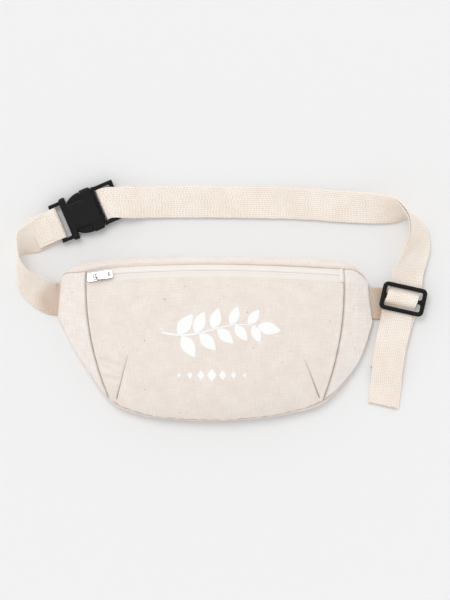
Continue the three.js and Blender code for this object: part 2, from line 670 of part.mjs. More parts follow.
// Buckle frame: along its axis from the left end, across it and up.
function inBuckle(along, across, up) {
  const angle = radians(BUCKLE_TURN);
  return new THREE.Vector3(
    BUCKLE_PLACE.x + along * Math.cos(angle) - across * Math.sin(angle),
    BUCKLE_PLACE.y + along * Math.sin(angle) + across * Math.cos(angle),
    BUCKLE_LEVEL + up,
  );
}
const bucklePair = (along, up) => [
  inBuckle(along, -WEB_WIDTH / 2, up),
  inBuckle(along, WEB_WIDTH / 2, up),
];

// The belt passes round a bar of the buckle on a flat-sided loop.
const LOOP_STEPS = 8;
function barLoop(barAlong, side, from, to) {
  const pairs = [];
  for (let i = 0; i <= LOOP_STEPS; i++) {
    const angle = lerp(from, to, i / LOOP_STEPS);
    const along = barAlong + side * ((BAR_DEEP - BAR_THICK) / 2 + LOOP_RISE * Math.cos(angle));
    pairs.push(bucklePair(along, LOOP_RISE * Math.sin(angle)));
  }
  return pairs;
}

function strapLeft() {
  const mouthX = SECTIONS[0].foot * HALF;
  const mouthY = webLevel(mouthX);
  const pairs = [];
  for (const x of [TUCK, TUCK / 2, 0])
    pairs.push(edgePair(mouthX + x, mouthY - WEB_WIDTH / 2, WEB_IN_BAG, 90, 0));
  const steps = 3;
  const last = LEFT_TURN.length - 1;
  for (let i = 0; i <= last * steps; i++) {
    const value = (name) => column(LEFT_TURN, name, i / steps);
    pairs.push(
      edgePair(
        mouthX - value("out") * LEFT_REACH,
        mouthY + value("up") * LEFT_CLIMB,
        value("lift") * WEB_WIDTH,
        value("turn"),
        value("rise"),
      ),
    );
  }
  pairs.push(...barLoop(LEFT_BAR, 1, -Math.PI / 2, Math.PI / 2));
  for (const share of [0.35, 0.7, 1])
    pairs.push(bucklePair(LEFT_BAR - share * RETURN_LENGTH, lerp(LOOP_RISE, 0, share)));
  return belt(pairs);
}

// Adjuster frames: across the belt, along it towards the top run, and up.
// The belt's hidden fold leans a little more than the adjuster.
function inTurnedFrame(turn, across, along, up) {
  const angle = radians(turn);
  return new THREE.Vector3(
    GLIDE_PLACE.x + across * Math.cos(angle) - along * Math.sin(angle),
    GLIDE_PLACE.y + across * Math.sin(angle) + along * Math.cos(angle),
    up,
  );
}
const glidePair = (along, up, sway = 0) => [
  inTurnedFrame(GLIDE_TURN, sway + WEB_WIDTH / 2, along, up),
  inTurnedFrame(GLIDE_TURN, sway - WEB_WIDTH / 2, along, up),
];
const legPair = (along, up) => [
  inTurnedFrame(LEG_TURN, WEB_WIDTH / 2, along, up),
  inTurnedFrame(LEG_TURN, -WEB_WIDTH / 2, along, up),
];

// A pair of edge points moved along the belt's own thickness.
function shiftedPairs(pairs, shiftOf) {
  const middle = pairs.map(([low, high]) => low.clone().lerp(high, 0.5));
  return pairs.map(([low, high], i) => {
    const before = middle[Math.max(i - 1, 0)];
    const after = middle[Math.min(i + 1, pairs.length - 1)];
    const thick = after.clone().sub(before).cross(high.clone().sub(low));
    thick.setLength(Math.abs(shiftOf(i))).multiplyScalar(Math.sign(shiftOf(i)));
    return [low.clone().add(thick), high.clone().add(thick)];
  });
}

// The belt's first stretch leaves the right wing, folds over on a slant under
// the adjuster, runs down beside the free end, and turns back up.
function hiddenFold() {
  const mouthX = SECTIONS[RIGHT_END].foot * HALF;
  const mouthY = webLevel(mouthX);
  const half = WEB_WIDTH / 2;
  const pairs = [];
  for (const x of [-TUCK, -TUCK / 2, 0])
    pairs.push(edgePair(mouthX + x, mouthY - half, WEB_IN_BAG, 90, 0));
  const lean = radians(LEG_TURN);
  // Where the leg's two edges cross the edges of the first stretch
  const reach = (side) => {
    const start = inTurnedFrame(LEG_TURN, side * half, 0, 0);
    return (mouthY - side * half - start.y) / Math.cos(lean);
  };
  const lowReach = reach(1);
  const highReach = reach(-1);
  const low = inTurnedFrame(LEG_TURN, half, lowReach, BASE_LEVEL);
  const high = inTurnedFrame(LEG_TURN, -half, highReach, BASE_LEVEL);
  const settled = new THREE.Vector3(lerp(mouthX, high.x, 0.75), mouthY - half, BASE_LEVEL);
  pairs.push([settled, settled.clone().setY(mouthY + half)]);
  for (const share of [0.3, 0.65]) {
    const x = lerp(high.x, low.x, share);
    pairs.push([new THREE.Vector3(x, low.y, BASE_LEVEL), high.clone().setX(high.x - 0.5 * (1 - share))]);
  }
  const out = high.clone().sub(low).cross(new THREE.Vector3(0, 0, 1)).normalize();
  const turnOver = LAYER / 2;
  for (let i = 0; i <= 6; i++) {
    const angle = lerp(-Math.PI / 2, Math.PI / 2, i / 6);
    const shift = out.clone().multiplyScalar(turnOver * Math.cos(angle));
    shift.z = turnOver * (1 + Math.sin(angle));
    pairs.push([low.clone().add(shift), high.clone().add(shift)]);
  }
  const second = BASE_LEVEL + LAYER;
  for (const share of [0.35, 0.7, 1]) {
    pairs.push([
      inTurnedFrame(LEG_TURN, half, lowReach - share, second),
      inTurnedFrame(LEG_TURN, -half, lerp(highReach, lowReach, share), second),
    ]);
  }
  // Down to the turn, and back up as the next layer
  for (const share of [0.35, 0.7, 1])
    pairs.push(legPair(lerp(lowReach, -FOLD_REACH, share), lerp(second, BASE_LEVEL, share)));
  for (let i = 1; i < 6; i++) {
    const angle = lerp(-Math.PI / 2, Math.PI / 2, i / 6);
    const along = -FOLD_REACH - turnOver * Math.cos(angle);
    pairs.push(legPair(along, BASE_LEVEL + turnOver * (1 + Math.sin(angle))));
  }
  for (const share of [0, 0.3, 0.65, 1])
    pairs.push(legPair(lerp(-FOLD_REACH, lowReach, share), lerp(second, second + LAYER, share)));
  pairs.push(glidePair(0, second + LAYER), glidePair(GLIDE_HEIGHT / 2, second + LAYER));
  return pairs;
}

// The two layers of the long run, from the adjuster round the corner and
// along the top to the buckle, as one middle surface.
function longRun() {
  const pairs = [];
  const steps = 2;
  const last = RIGHT_TURN.length - 1;
  for (let i = 0; i <= last * steps; i++) {
    const value = (name) => column(RIGHT_TURN, name, i / steps);
    pairs.push(
      edgePair(
        GLIDE_PLACE.x + value("out") * BELT_REACH,
        GLIDE_PLACE.y + value("up") * BELT_CLIMB,
        BASE_LEVEL + (value("lift") - 0.5) * LAYER,
        value("turn"),
        value("rise"),
      ),
    );
  }
  return pairs;
}

// One layer of belt between the plug's middle bar and its end, above (1) or
// below (-1) the plug.
const plugLead = (side) =>
  PLUG_LEAD.map(({ along, across, turn, clear }) => {
    const place = MALE_BAR + along * PLUG_REACH;
    const aside = (across - 0.5) * WEB_WIDTH;
    const ahead = WEB_WIDTH * Math.sin(radians(turn));
    const wide = WEB_WIDTH * Math.cos(radians(turn));
    return [
      inBuckle(place, aside, side * lerp(LOOP_RISE, ARM_CLEAR, clear)),
      inBuckle(place + ahead, aside + wide, side * LOOP_RISE),
    ];
  });

function strapLong() {
  const run = longRun();
  const spread = (i) => (LAYER / 2) * (1 + LAYER_SPREAD * Math.max(0, i - run.length + 4) ** 2);
  const inner = shiftedPairs(run, (i) => -spread(i));
  const outer = shiftedPairs(run, spread).reverse();
  const first = hiddenFold();
  // Under the adjuster's ends and over its middle bar
  const low = BASE_LEVEL + 3 * LAYER;
  const rise = GLIDE_LEVEL + GLIDE_THICK / 2 + GAP + WEB_THICK / 2 - low;
  const slot = GLIDE_HEIGHT / 2 - GLIDE_BAR / 2;
  const crown = GLIDE_BAR / 2;
  const through = [];
  for (let i = 0; i <= 16; i++) {
    const along = lerp(slot, -slot, i / 16);
    const share = clamp((Math.abs(along) - crown) / (slot - 2 * crown), 0, 1);
    const height = low + rise * (0.5 + 0.5 * Math.cos(Math.PI * share));
    through.push(glidePair(along, height, lerp(0, TAIL_SWAY, i / 16)));
  }
  const tail = [];
  for (let i = 1; i <= 3 * (TAIL.length - 1); i++) {
    const value = (name) => column(TAIL, name, i / 3);
    const along = -slot - value("along") * (TAIL_LENGTH - slot);
    const sway = TAIL_SWAY * value("sway");
    tail.push(glidePair(along, BASE_LEVEL + value("layers") * LAYER, sway));
  }
  return belt([
    ...first,
    ...inner.slice(1),
    ...plugLead(1).reverse(),
    ...barLoop(MALE_BAR, -1, Math.PI / 2, -Math.PI / 2),
    ...plugLead(-1),
    ...outer.slice(0, -1),
    ...through,
    ...tail,
  ]);
}

// Buckle, in its own frame from the left end

// A block between two places along the buckle and two across it.
function buckleBlock(from, to, near, far, height) {
  return block(to - from, Math.abs(far - near), height, (from + to) / 2, (near + far) / 2, 0);
}

function buckleArms(from, to, height) {
  const outside = ARM_INSIDE + BUCKLE_ARM;
  return [1, -1].map((side) => buckleBlock(from, to, side * ARM_INSIDE, side * outside, height));
}

// A bar with round sides between the two arms.
function barAt(along) {
  const width = 2 * ARM_INSIDE + BUCKLE_ARM;
  const round = BAR_THICK / 2 - 0.01;
  const section = roundedOutline(new THREE.Shape(), BAR_DEEP, BAR_THICK, round);
  const bar = new THREE.ExtrudeGeometry(section, { depth: width, bevelEnabled: false, curveSegments: 4 });
  return bar.translate(0, 0, -width / 2).rotateX(Math.PI / 2).translate(along, 0, 0);
}

function socket() {
  const middle = (SOCKET_START + SOCKET_MOUTH) / 2;
  const shell = roundedPlate(SOCKET_LENGTH, BUCKLE_WIDTH, BUCKLE_THICK, BUCKLE_CORNER, BUCKLE_SOFTEN);
  const arms = buckleArms(LEFT_BAR - BAR_DEEP / 2, SOCKET_START + BUCKLE_CORNER, SOCKET_ARM_THICK);
  const room = BUCKLE_WIDTH / 2 - BUCKLE_ARM;
  const inside = SOCKET_START + SOCKET_END;
  const hollow = buckleBlock(inside, BUCKLE_LENGTH, -room, room, PRONG_THICK + 2 * GAP);
  const start = SOCKET_START + WINDOW_INSET;
  const windows = [1, -1].map((side) =>
    buckleBlock(start, start + WINDOW_LENGTH, side * (room - PRONG), side * BUCKLE_WIDTH, 2 * BUCKLE_THICK),
  );
  return cut(join(shell.translate(middle, 0, 0), ...arms, barAt(LEFT_BAR)), hollow, ...windows);
}

// Prongs with round-backed barbs that show in the socket's windows.
function prong(side) {
  const start = SOCKET_START + WINDOW_INSET + GAP;
  const stop = start + WINDOW_LENGTH - 2 * GAP;
  const root = SOCKET_MOUTH + SILL / 2;
  const outside = BUCKLE_WIDTH / 2 - BUCKLE_ARM - GAP;
  const inside = outside - 2 * PRONG;
  const barb = BUCKLE_WIDTH / 2 - BARB_SINK;
  const shape = new THREE.Shape();
  shape.moveTo(root, inside);
  shape.lineTo(root, outside);
  shape.lineTo(stop, outside);
  shape.lineTo(stop, barb);
  shape.quadraticCurveTo(lerp(start, stop, 0.4), barb, start, outside - PRONG / 2);
  shape.lineTo(start, inside);
  shape.closePath();
  const options = { depth: PRONG_THICK, bevelEnabled: false, curveSegments: 5 };
  const body = new THREE.ExtrudeGeometry(shape, options);
  body.translate(0, 0, -PRONG_THICK / 2);
  return side > 0 ? body : body.rotateX(Math.PI);
}

function plug() {
  const mouth = SOCKET_MOUTH + GAP;
  const outer = ARM_INSIDE + BUCKLE_ARM + SILL_PROUD;
  const sillTop = BUCKLE_THICK - 2 * BUCKLE_WALL;
  return join(
    buckleBlock(mouth, mouth + SILL, -outer, outer, sillTop),
    ...buckleArms(mouth + SILL / 2, BUCKLE_LENGTH, PLUG_ARM_THICK),
    barAt(MALE_BAR),
    barAt(BUCKLE_LENGTH - BAR_DEEP / 2),
    buckleBlock(mouth - TONGUE, mouth + SILL / 2, -PRONG / 2, PRONG / 2, PRONG_THICK - 2 * GAP),
    prong(1),
    prong(-1),
  );
}

function glide() {
  const slot = (GLIDE_HEIGHT - 3 * GLIDE_BAR) / 2;
  const length = WEB_WIDTH + 6 * GAP + Math.abs(TAIL_SWAY);
  const middle = (slot + GLIDE_BAR) / 2;
  return roundedPlate(GLIDE_LENGTH, GLIDE_HEIGHT, GLIDE_THICK, GLIDE_CORNER, GLIDE_SOFTEN, [
    [length, slot, GLIDE_SLOT_CORNER, 0, middle],
    [length, slot, GLIDE_SLOT_CORNER, 0, -middle],
  ]);
}

// Zip slider, in its own frame: along the zip, across it, and out of the
// cloth, from the cloth's outer face.
const SLIDER_LIFT = GAP - CANVAS;
const EYE_RADIUS = BAIL_PIN + GAP + PULL_WALL;
const PIN_LEVEL = SLIDER_LIFT + SLIDER_PLATE + GAP + EYE_RADIUS;
const PIN_ALONG = SLIDER_LENGTH / 2 - PIN_INSET;

function cylinderAcross(radius, length) {
  return new THREE.CylinderGeometry(radius, radius, length, 14);
}

function sliderBody() {
  const plate = roundedPlate(SLIDER_LENGTH, SLIDER_WIDTH, SLIDER_PLATE, SLIDER_CORNER, GAP);
  plate.translate(0, 0, SLIDER_LIFT + SLIDER_PLATE / 2);
  const foot = SLIDER_LIFT + SLIDER_PLATE / 2;
  const height = PIN_LEVEL + BAIL_PIN + GAP - foot;
  const ears = [1, -1].map((side) => {
    const across = (side * (BAIL_WIDTH - BAIL_EAR)) / 2;
    return block(EAR_LENGTH, BAIL_EAR, height, PIN_ALONG, across, foot + height / 2);
  });
  const pin = cylinderAcross(BAIL_PIN, BAIL_WIDTH - BAIL_EAR).translate(PIN_ALONG, 0, PIN_LEVEL);
  return join(plate, ...ears, pin);
}

// The pull turns on the pin; its own frame has the pin's axis at the origin.
function pullTab() {
  const eyeWidth = BAIL_WIDTH - 2 * BAIL_EAR - 2 * GAP;
  const eye = cylinderAcross(EYE_RADIUS, eyeWidth);
  const neck = block(2 * EYE_RADIUS, eyeWidth, PULL_THICK, PULL_NECK, 0, 0);
  const tabLength = PULL_LENGTH - PULL_NECK;
  const tab = roundedPlate(tabLength, PULL_WIDTH, PULL_THICK, PULL_SLOT - GAP, GAP);
  tab.translate(PULL_NECK + tabLength / 2, 0, 0);
  const hole = cylinderAcross(BAIL_PIN + GAP, PULL_WIDTH);
  const slotAlong = PULL_LENGTH - PULL_SLOT_INSET;
  const slot = block(PULL_SLOT, PULL_SLOT_WIDTH, 2 * PULL_THICK, slotAlong, 0, 0);
  return cut(join(eye, neck, tab), hole, slot);
}

function zipFrame() {
  const at = LEFT_SEAM + rowsFor(SLIDER_INSET, LEFT_SEAM);
  const share = crest(at) - acrossSkin(at, TAPE_SHOW);
  const out = skinNormal(at, share);
  const ahead = LEFT_SEAM + rowsFor(SLIDER_INSET + PULL_LENGTH, LEFT_SEAM);
  const aheadShare = crest(ahead) - acrossSkin(ahead, TAPE_SHOW);
  const place = skinPoint(at, share);
  const along = skinPoint(ahead, aheadShare).sub(place);
  along.addScaledVector(out, -along.dot(out)).normalize();
  const frame = new THREE.Group();
  frame.quaternion.setFromRotationMatrix(
    new THREE.Matrix4().makeBasis(along, out.clone().cross(along), out),
  );
  frame.position.copy(place);
  return frame;
}

const slider = zipFrame();
const pull = piece("zip_pull", pullTab(), METAL);
pull.position.set(PIN_ALONG, 0, PIN_LEVEL);
pull.rotation.y = radians(PULL_REST);
slider.add(piece("zip_slider", sliderBody(), METAL), pull);

const buckle = new THREE.Group();
buckle.position.set(BUCKLE_PLACE.x, BUCKLE_PLACE.y, BUCKLE_LEVEL);
buckle.rotation.z = radians(BUCKLE_TURN);
buckle.add(piece("buckle_female", socket(), PLASTIC), piece("buckle_male", plug(), PLASTIC));

const adjuster = piece("tri_glide", glide(), PLASTIC);
adjuster.position.set(GLIDE_PLACE.x, GLIDE_PLACE.y, GLIDE_LEVEL);
adjuster.rotation.z = radians(GLIDE_TURN);

const bag = new THREE.Group();
bag.add(
  piece("front_panel", frontPanel(), CLOTH),
  piece("back_panel", backPanel(), CLOTH),
  piece("wing_left", wing(LEFT_END, seamRow(LEFT_SEAM, -1)), CLOTH),
  piece("wing_right", wing(seamRow(RIGHT_SEAM, 1), RIGHT_END), CLOTH),
  piece("top_strip", topStrip(), CLOTH),
  piece("zip_tape_upper", zipTape(1), CLOTH),
  piece("zip_tape_lower", zipTape(-1), CLOTH),
  piece("zip_coil", zipCoil(), CLOTH),
  piece("zip_end_tab", zipEndTab(), CLOTH),
  piece("strap_left", strapLeft(), WEBBING),
  piece("strap_long", strapLong(), WEBBING),
  slider,
  buckle,
  adjuster,
);

export default bag;
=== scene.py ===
"""Cloth, webbing, metal and plastic finishes of a canvas belt bag.

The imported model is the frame. Lengths are metres in its axes: +X to the wing
beside the strap adjuster, +Y to the zip and +Z out of the bag's front.
"""

import logging
from collections.abc import Callable
from dataclasses import dataclass, field
from enum import Enum
from math import cos, pi, radians, sin, tan
from typing import NamedTuple

import bmesh
import bpy
import numpy as np
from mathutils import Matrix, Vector


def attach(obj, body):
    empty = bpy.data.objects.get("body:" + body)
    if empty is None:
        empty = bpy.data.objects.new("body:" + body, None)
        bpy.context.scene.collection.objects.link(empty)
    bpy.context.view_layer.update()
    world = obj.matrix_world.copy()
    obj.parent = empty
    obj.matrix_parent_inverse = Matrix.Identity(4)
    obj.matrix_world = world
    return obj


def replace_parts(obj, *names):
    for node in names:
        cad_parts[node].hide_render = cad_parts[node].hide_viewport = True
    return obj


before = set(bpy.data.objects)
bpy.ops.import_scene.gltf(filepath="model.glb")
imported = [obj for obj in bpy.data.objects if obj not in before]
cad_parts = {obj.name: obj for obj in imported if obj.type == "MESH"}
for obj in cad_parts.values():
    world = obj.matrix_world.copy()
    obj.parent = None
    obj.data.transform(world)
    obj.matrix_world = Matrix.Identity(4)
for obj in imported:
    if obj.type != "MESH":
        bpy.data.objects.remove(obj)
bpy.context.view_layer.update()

MM = 0.001
LOG = logging.getLogger("belt_bag")
Array = np.ndarray
UP = np.array([0.0, 0.0, 1.0])
Colour = tuple[float, float, float]

# Sections through the bag from the left wing end to the right one, as shares
# of the named sizes of BagForm: where a section meets the bottom and top edge,
# how far those edges lie beyond the wing ends, its fullness, its bow, how
# nearly it is a rectangle, and the heights of the top strip and of the rim.
SECTION_COLUMNS = ("foot", "head", "drop", "rise", "full", "bow", "flat", "strip", "rim")
SECTIONS = np.array([
    (-0.999, -0.983, 0.0, 0.0, 0.0, 0.0, 1.0, 0.0, 0.0),
    (-0.959, -0.97, 0.124, 0.202, 0.07, -0.12, 0.6, 0.09, 0.1),
    (-0.906, -0.944, 0.283, 0.396, 0.18, -0.35, 0.25, 0.25, 0.2),
    (-0.817, -0.893, 0.506, 0.555, 0.34, -0.7, 0.08, 0.52, 0.5),
    (-0.662, -0.811, 0.826, 0.746, 0.54, -1.0, 0.0, 0.84, 1.1),
    (-0.488, -0.614, 0.945, 0.881, 0.74, -0.75, 0.0, 0.9, 1.0),
    (-0.253, -0.317, 0.994, 0.957, 0.93, -0.35, 0.0, 0.98, 1.0),
    (0.013, 0.019, 1.0, 1.0, 1.0, 0.0, 0.0, 1.0, 1.0),
    (0.285, 0.361, 0.968, 0.996, 0.95, 0.35, 0.0, 1.0, 1.0),
    (0.5, 0.64, 0.908, 0.943, 0.8, 0.75, 0.0, 0.9, 1.15),
    (0.675, 0.811, 0.823, 0.865, 0.6, 0.95, 0.0, 0.72, 1.4),
    (0.817, 0.88, 0.615, 0.741, 0.38, 0.7, 0.08, 0.47, 0.5),
    (0.906, 0.921, 0.418, 0.514, 0.2, 0.35, 0.25, 0.25, 0.2),
    (0.969, 0.953, 0.186, 0.28, 0.08, 0.12, 0.6, 0.09, 0.1),
    (1.0, 0.977, 0.0, 0.0, 0.0, 0.0, 1.0, 0.0, 0.0),
])
LEFT_SEAM, RIGHT_SEAM = 4, 10
STRIP_START, STRIP_STOP = 1, 13
LAST_SECTION = len(SECTIONS) - 1

# Grooves of the front: from x, y to x, y as shares of half the width and of
# half the height, then depth and width as shares of a dart's. The first two
# are sewn darts, the others soft creases that run out of the seams.
DARTS = np.array([
    (-0.626, -0.74, -0.551, -0.2, 1.0, 1.0),
    (0.662, -0.715, 0.569, -0.256, 1.0, 1.0),
])
CREASES = np.array([
    (-0.745, -0.22, -0.57, -0.36, 1.5, 0.9),
    (-0.715, -0.44, -0.59, -0.52, 1.5, 0.75),
    (-0.725, -0.33, -0.62, -0.42, 1.0, 0.6),
    (-0.79, 0.1, -0.6, -0.06, 0.35, 1.6),
    (0.75, -0.3, 0.62, -0.38, 0.5, 1.0),
    (0.8, 0.0, 0.66, -0.1, 0.3, 1.5),
    (0.12, -0.86, 0.05, -0.6, 0.4, 2.2),
    (-0.42, -0.86, -0.38, -0.62, 0.4, 1.8),
    (-0.3, -0.89, -0.24, -0.7, 0.35, 1.5),
    (0.4, -0.84, 0.34, -0.62, 0.35, 1.8),
])

# The belt's lower edge on its two turns, and the direction of its width: out
# and up as shares of the turn's own size, turn and rise in degrees, and lift in
# belt widths on the left, in belt layers on the right.
LEFT_TURN = np.array([
    (0.04, -0.217, 88, 1, 0.07),
    (0.2, -0.214, 77, 4, 0.055),
    (0.45, -0.155, 66, 10, 0.04),
    (0.69, -0.05, 56, 22, 0.03),
    (0.87, 0.07, 53, 38, 0.03),
    (0.955, 0.19, 54, 52, 0.03),
    (0.985, 0.32, 58, 62, 0.03),
    (0.975, 0.46, 72, 70, 0.03),
    (0.925, 0.575, 92, 69, 0.03),
    (0.83, 0.64, 108, 57, 0.03),
    (0.7, 0.655, 112, 40, 0.03),
    (0.54, 0.67, 110, 24, 0.035),
    (0.34, 0.71, 111, 11, 0.05),
    (0.14, 0.775, 112.5, 4, 0.07),
])
RIGHT_TURN = np.array([
    (0.071, 0.145, 168, 0, 3.0),
    (0.08, 0.331, 176, 8, 2.2),
    (0.097, 0.539, 184, 24, 1.5),
    (0.101, 0.686, 188, 38, 1.1),
    (0.094, 0.809, 190, 51, 1.0),
    (0.077, 0.9, 186, 63, 1.0),
    (0.055, 0.968, 168, 71, 1.0),
    (0.034, 1.003, 139, 71, 1.0),
    (0.013, 1.0, 118, 61, 1.0),
    (-0.01, 0.968, 109, 46, 1.0),
    (-0.042, 0.944, 104, 32, 1.0),
    (-0.089, 0.932, 99, 18, 1.0),
    (-0.158, 0.932, 94, 7, 1.0),
    (-0.26, 0.95, 91, 3, 1.0),
    (-0.393, 0.979, 90, 2, 1.0),
    (-0.621, 0.995, 90, 1, 1.0),
    (-0.849, 0.999, 90, 0, 1.1),
    (-0.975, 0.995, 92, 0, 1.7),
])
# Beside the plug, from its middle bar to its end: shares of the way along and
# of the belt's width across, turn in degrees, and how nearly it lies flush.
PLUG_LEAD = np.array([
    (0.055, 0.0, 2, 0.7),
    (0.2, -0.025, 9, 1.0),
    (0.6, -0.118, 14.5, 1.0),
    (1.075, -0.22, 17.3, 1.0),
])
# The free end: share of its length, sway, and belt layers under it.
TAIL = np.array([
    (0.0, 1.0, 3.0),
    (0.2, 0.8, 3.0),
    (0.4, 0.75, 2.7),
    (0.6, 0.1, 2.1),
    (0.7, -0.3, 1.4),
    (0.82, -0.9, 0.2),
    (1.0, -1.5, 0.0),
])


class Slot(Enum):
    """Material slots."""

    CANVAS = "canvas"
    TAPE = "zip_tape"
    COIL = "zip_coil"
    NICKEL = "nickel"
    WEBBING = "webbing"
    PLASTIC = "black_plastic"


def lerp(a: Array | float, b: Array | float, t: Array | float) -> Array | float:
    """Straight mix of a and b."""
    return a + (b - a) * t


def unit(v: Array) -> Array:
    """Vectors of length one."""
    return v / np.maximum(np.linalg.norm(v, axis=-1, keepdims=True), 1e-12)


def run_length(line: Array) -> Array:
    """Length passed at each point of a line."""
    return np.concatenate([[0], np.cumsum(np.linalg.norm(np.diff(line, axis=0), axis=1))])


def values_along(at: Array, length: Array, values: Array) -> Array:
    """Rows of values at places along a line of known running length."""
    return np.stack([np.interp(at, length, values[:, k]) for k in range(values.shape[1])], -1)


def hung(pieces: list[bpy.types.Object], body: str = "bag") -> list[bpy.types.Object]:
    """Hangs pieces on a body."""
    for piece in pieces:
        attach(piece, body)
    return pieces


def table_values(rows: Array, at: Array) -> Array:
    """Smooth curve through the rows of a table.

    Cubic between two rows, with half the difference of a row's neighbours as
    its slope.

    Args:
        rows: Table, one row for each place.
        at: Row numbers, which may lie between rows.

    Returns:
        One row of values for each entry of at.
    """
    last = len(rows) - 1
    i = np.clip(np.floor(at).astype(int), 0, last - 1)
    f = (at - i)[:, None]
    a, b, c, d = (rows[np.clip(i + k, 0, last)] for k in (-1, 0, 1, 2))
    return (
        b * (2 * f**3 - 3 * f**2 + 1)
        + c * (3 * f**2 - 2 * f**3)
        + (c - a) / 2 * (f**3 - 2 * f**2 + f)
        + (d - b) / 2 * (f**3 - f**2)
    )


def refined(rows: Array, parts: int) -> Array:
    """Smooth table with so many steps from one row to the next."""
    return table_values(rows, np.linspace(0, len(rows) - 1, parts * (len(rows) - 1) + 1))


def smooth_path(points: Array, step: float) -> Array:
    """Even stations on a smooth curve through points.

    A cubic between two points, whose slopes are those of the parabola through
    each three neighbours, over the length along the curve of the middle.

    Args:
        points: One row for each point; the first six values are two edges.
        step: Distance between stations.

    Returns:
        Rows like those of points, step apart.
    """
    middle = (points[:, :3] + points[:, 3:6]) / 2
    gap = np.maximum(np.linalg.norm(np.diff(middle, axis=0), axis=1), 1e-5)
    along = np.concatenate([[0], np.cumsum(gap)])
    rate = np.diff(points, axis=0) / gap[:, None]
    before, after = gap[:-1, None], gap[1:, None]
    inner = (rate[:-1] * after + rate[1:] * before) / (before + after)
    slope = np.vstack([rate[:1], inner, rate[-1:]])
    at = np.linspace(0, along[-1], int(along[-1] / step) + 1)
    i = np.clip(np.searchsorted(along, at, side="right") - 1, 0, len(gap) - 1)
    h = gap[i][:, None]
    f = ((at - along[i])[:, None]) / h
    return (
        points[i] * (2 * f**3 - 3 * f**2 + 1)
        + points[i + 1] * (3 * f**2 - 2 * f**3)
        + slope[i] * h * (f**3 - 2 * f**2 + f)
        + slope[i + 1] * h * (f**3 - f**2)
    )


def undulation(x: Array, y: Array, size: float, seed: int) -> Array:
    """Soft random waves, as a sum of twelve sines in random directions.

    Args:
        x: First coordinate.
        y: Second coordinate.
        size: Length of the longest wave.
        seed: Picks directions and phases.

    Returns:
        Values of about -1 to 1.
    """
    dice = np.random.default_rng(seed)
    total = np.zeros(np.broadcast(x, y).shape)
    for k in range(12):
        angle, phase = dice.uniform(0, 2 * pi, 2)
        wave = size * 0.88**k
        total = total + np.sin(2 * pi * (x * cos(angle) + y * sin(angle)) / wave + phase) * 0.93**k
    return total / 4.2


def falloff(away: Array, reach: float) -> Array:
    """1 on a line, falling off as the square exponential of the distance."""
    return np.exp(-((away / reach) ** 2))


def groove(x: Array, y: Array, row: Array, half: float, height: float) -> tuple[Array, Array]:
    """How far points lie from a groove's line, and how far along it.

    Args:
        x: Places in plan.
        y: Places in plan.
        row: One row of DARTS or CREASES.
        half: Half the bag's width.
        height: Half the bag's height.

    Returns:
        Distance to the line, and the share of its length, 0 to 1.
    """
    from_x, from_y = row[0] * half, row[1] * height
    dx, dy = row[2] * half - from_x, row[3] * height - from_y
    along = np.clip(((x - from_x) * dx + (y - from_y) * dy) / (dx * dx + dy * dy), 0, 1)
    away = np.hypot(x - from_x - along * dx, y - from_y - along * dy)
    return away, along


@dataclass
class Surface:
    """Points, quads, caps with more corners, cloth coordinates, painted shade."""

    points: Array
    quads: Array
    cloth: Array
    caps: list[list[int]] = field(default_factory=list)
    shade: Array | None = None

    def volume(self) -> float:
        """Six times the enclosed volume of the quads, with its sign."""
        a, b, c, d = (self.points[self.quads[:, k]] for k in range(4))
        return float(np.sum(a * np.cross(b, c)) + np.sum(a * np.cross(c, d)))

    def placed(self, name: str, material: bpy.types.Material, sharp: float = 55) -> bpy.types.Object:
        """Makes the mesh object.

        Args:
            name: Name of the piece.
            material: Its finish.
            sharp: Edges over this many degrees stay sharp.

        Returns:
            The object, at the origin.
        """
        quads = self.quads if self.volume() > 0 else self.quads[:, ::-1]
        caps = self.caps if self.volume() > 0 else [cap[::-1] for cap in self.caps]
        mesh = bpy.data.meshes.new(name)
        mesh.from_pydata(self.points.tolist(), [], quads.tolist() + caps)
        corner = np.empty(len(mesh.loops), int)
        mesh.loops.foreach_get("vertex_index", corner)
        layer = mesh.uv_layers.new(name="Cloth")
        layer.data.foreach_set("uv", self.cloth[corner].astype(np.float32).ravel())
        # The painted shade goes on the mesh as a point attribute
        if self.shade is not None:
            seam = mesh.attributes.new("Seam", "FLOAT", "POINT")
            seam.data.foreach_set("value", np.clip(self.shade, 0, 1).astype(np.float32).ravel())
        mesh.polygons.foreach_set("use_smooth", np.ones(len(mesh.polygons), bool))
        mesh.set_sharp_from_angle(angle=radians(sharp))
        mesh.materials.append(material)
        piece = bpy.data.objects.new(name, mesh)
        bpy.context.scene.collection.objects.link(piece)
        return piece


def wall(outer: Array, inner: Array, cloth: Array) -> Surface:
    """Closed walls between outer and inner grids.

    Args:
        outer: Points, as patches x columns x rows x 3.
        inner: Points of the same shape.
        cloth: Cloth coordinates, as patches x columns x rows x 2.

    Returns:
        One surface with every patch.
    """
    patches, columns, rows = outer.shape[:3]
    size = columns * rows
    index = np.arange(size).reshape(columns, rows)
    face = np.stack([index[:-1, :-1], index[1:, :-1], index[1:, 1:], index[:-1, 1:]], -1).reshape(-1, 4)
    border = np.concatenate([index[:-1, 0], index[-1, :-1], index[:0:-1, -1], index[0, :0:-1]])
    ahead = np.roll(border, -1)
    side = np.stack([ahead, border, border + size, ahead + size], -1)
    one = np.vstack([face, face[:, ::-1] + size, side])
    quads = (one[None] + (np.arange(patches) * 2 * size)[:, None, None]).reshape(-1, 4)
    points = np.concatenate([outer.reshape(patches, size, 3), inner.reshape(patches, size, 3)], 1)
    flat = cloth.reshape(patches, size, 2)
    return Surface(points.reshape(-1, 3), quads, np.concatenate([flat, flat], 1).reshape(-1, 2))


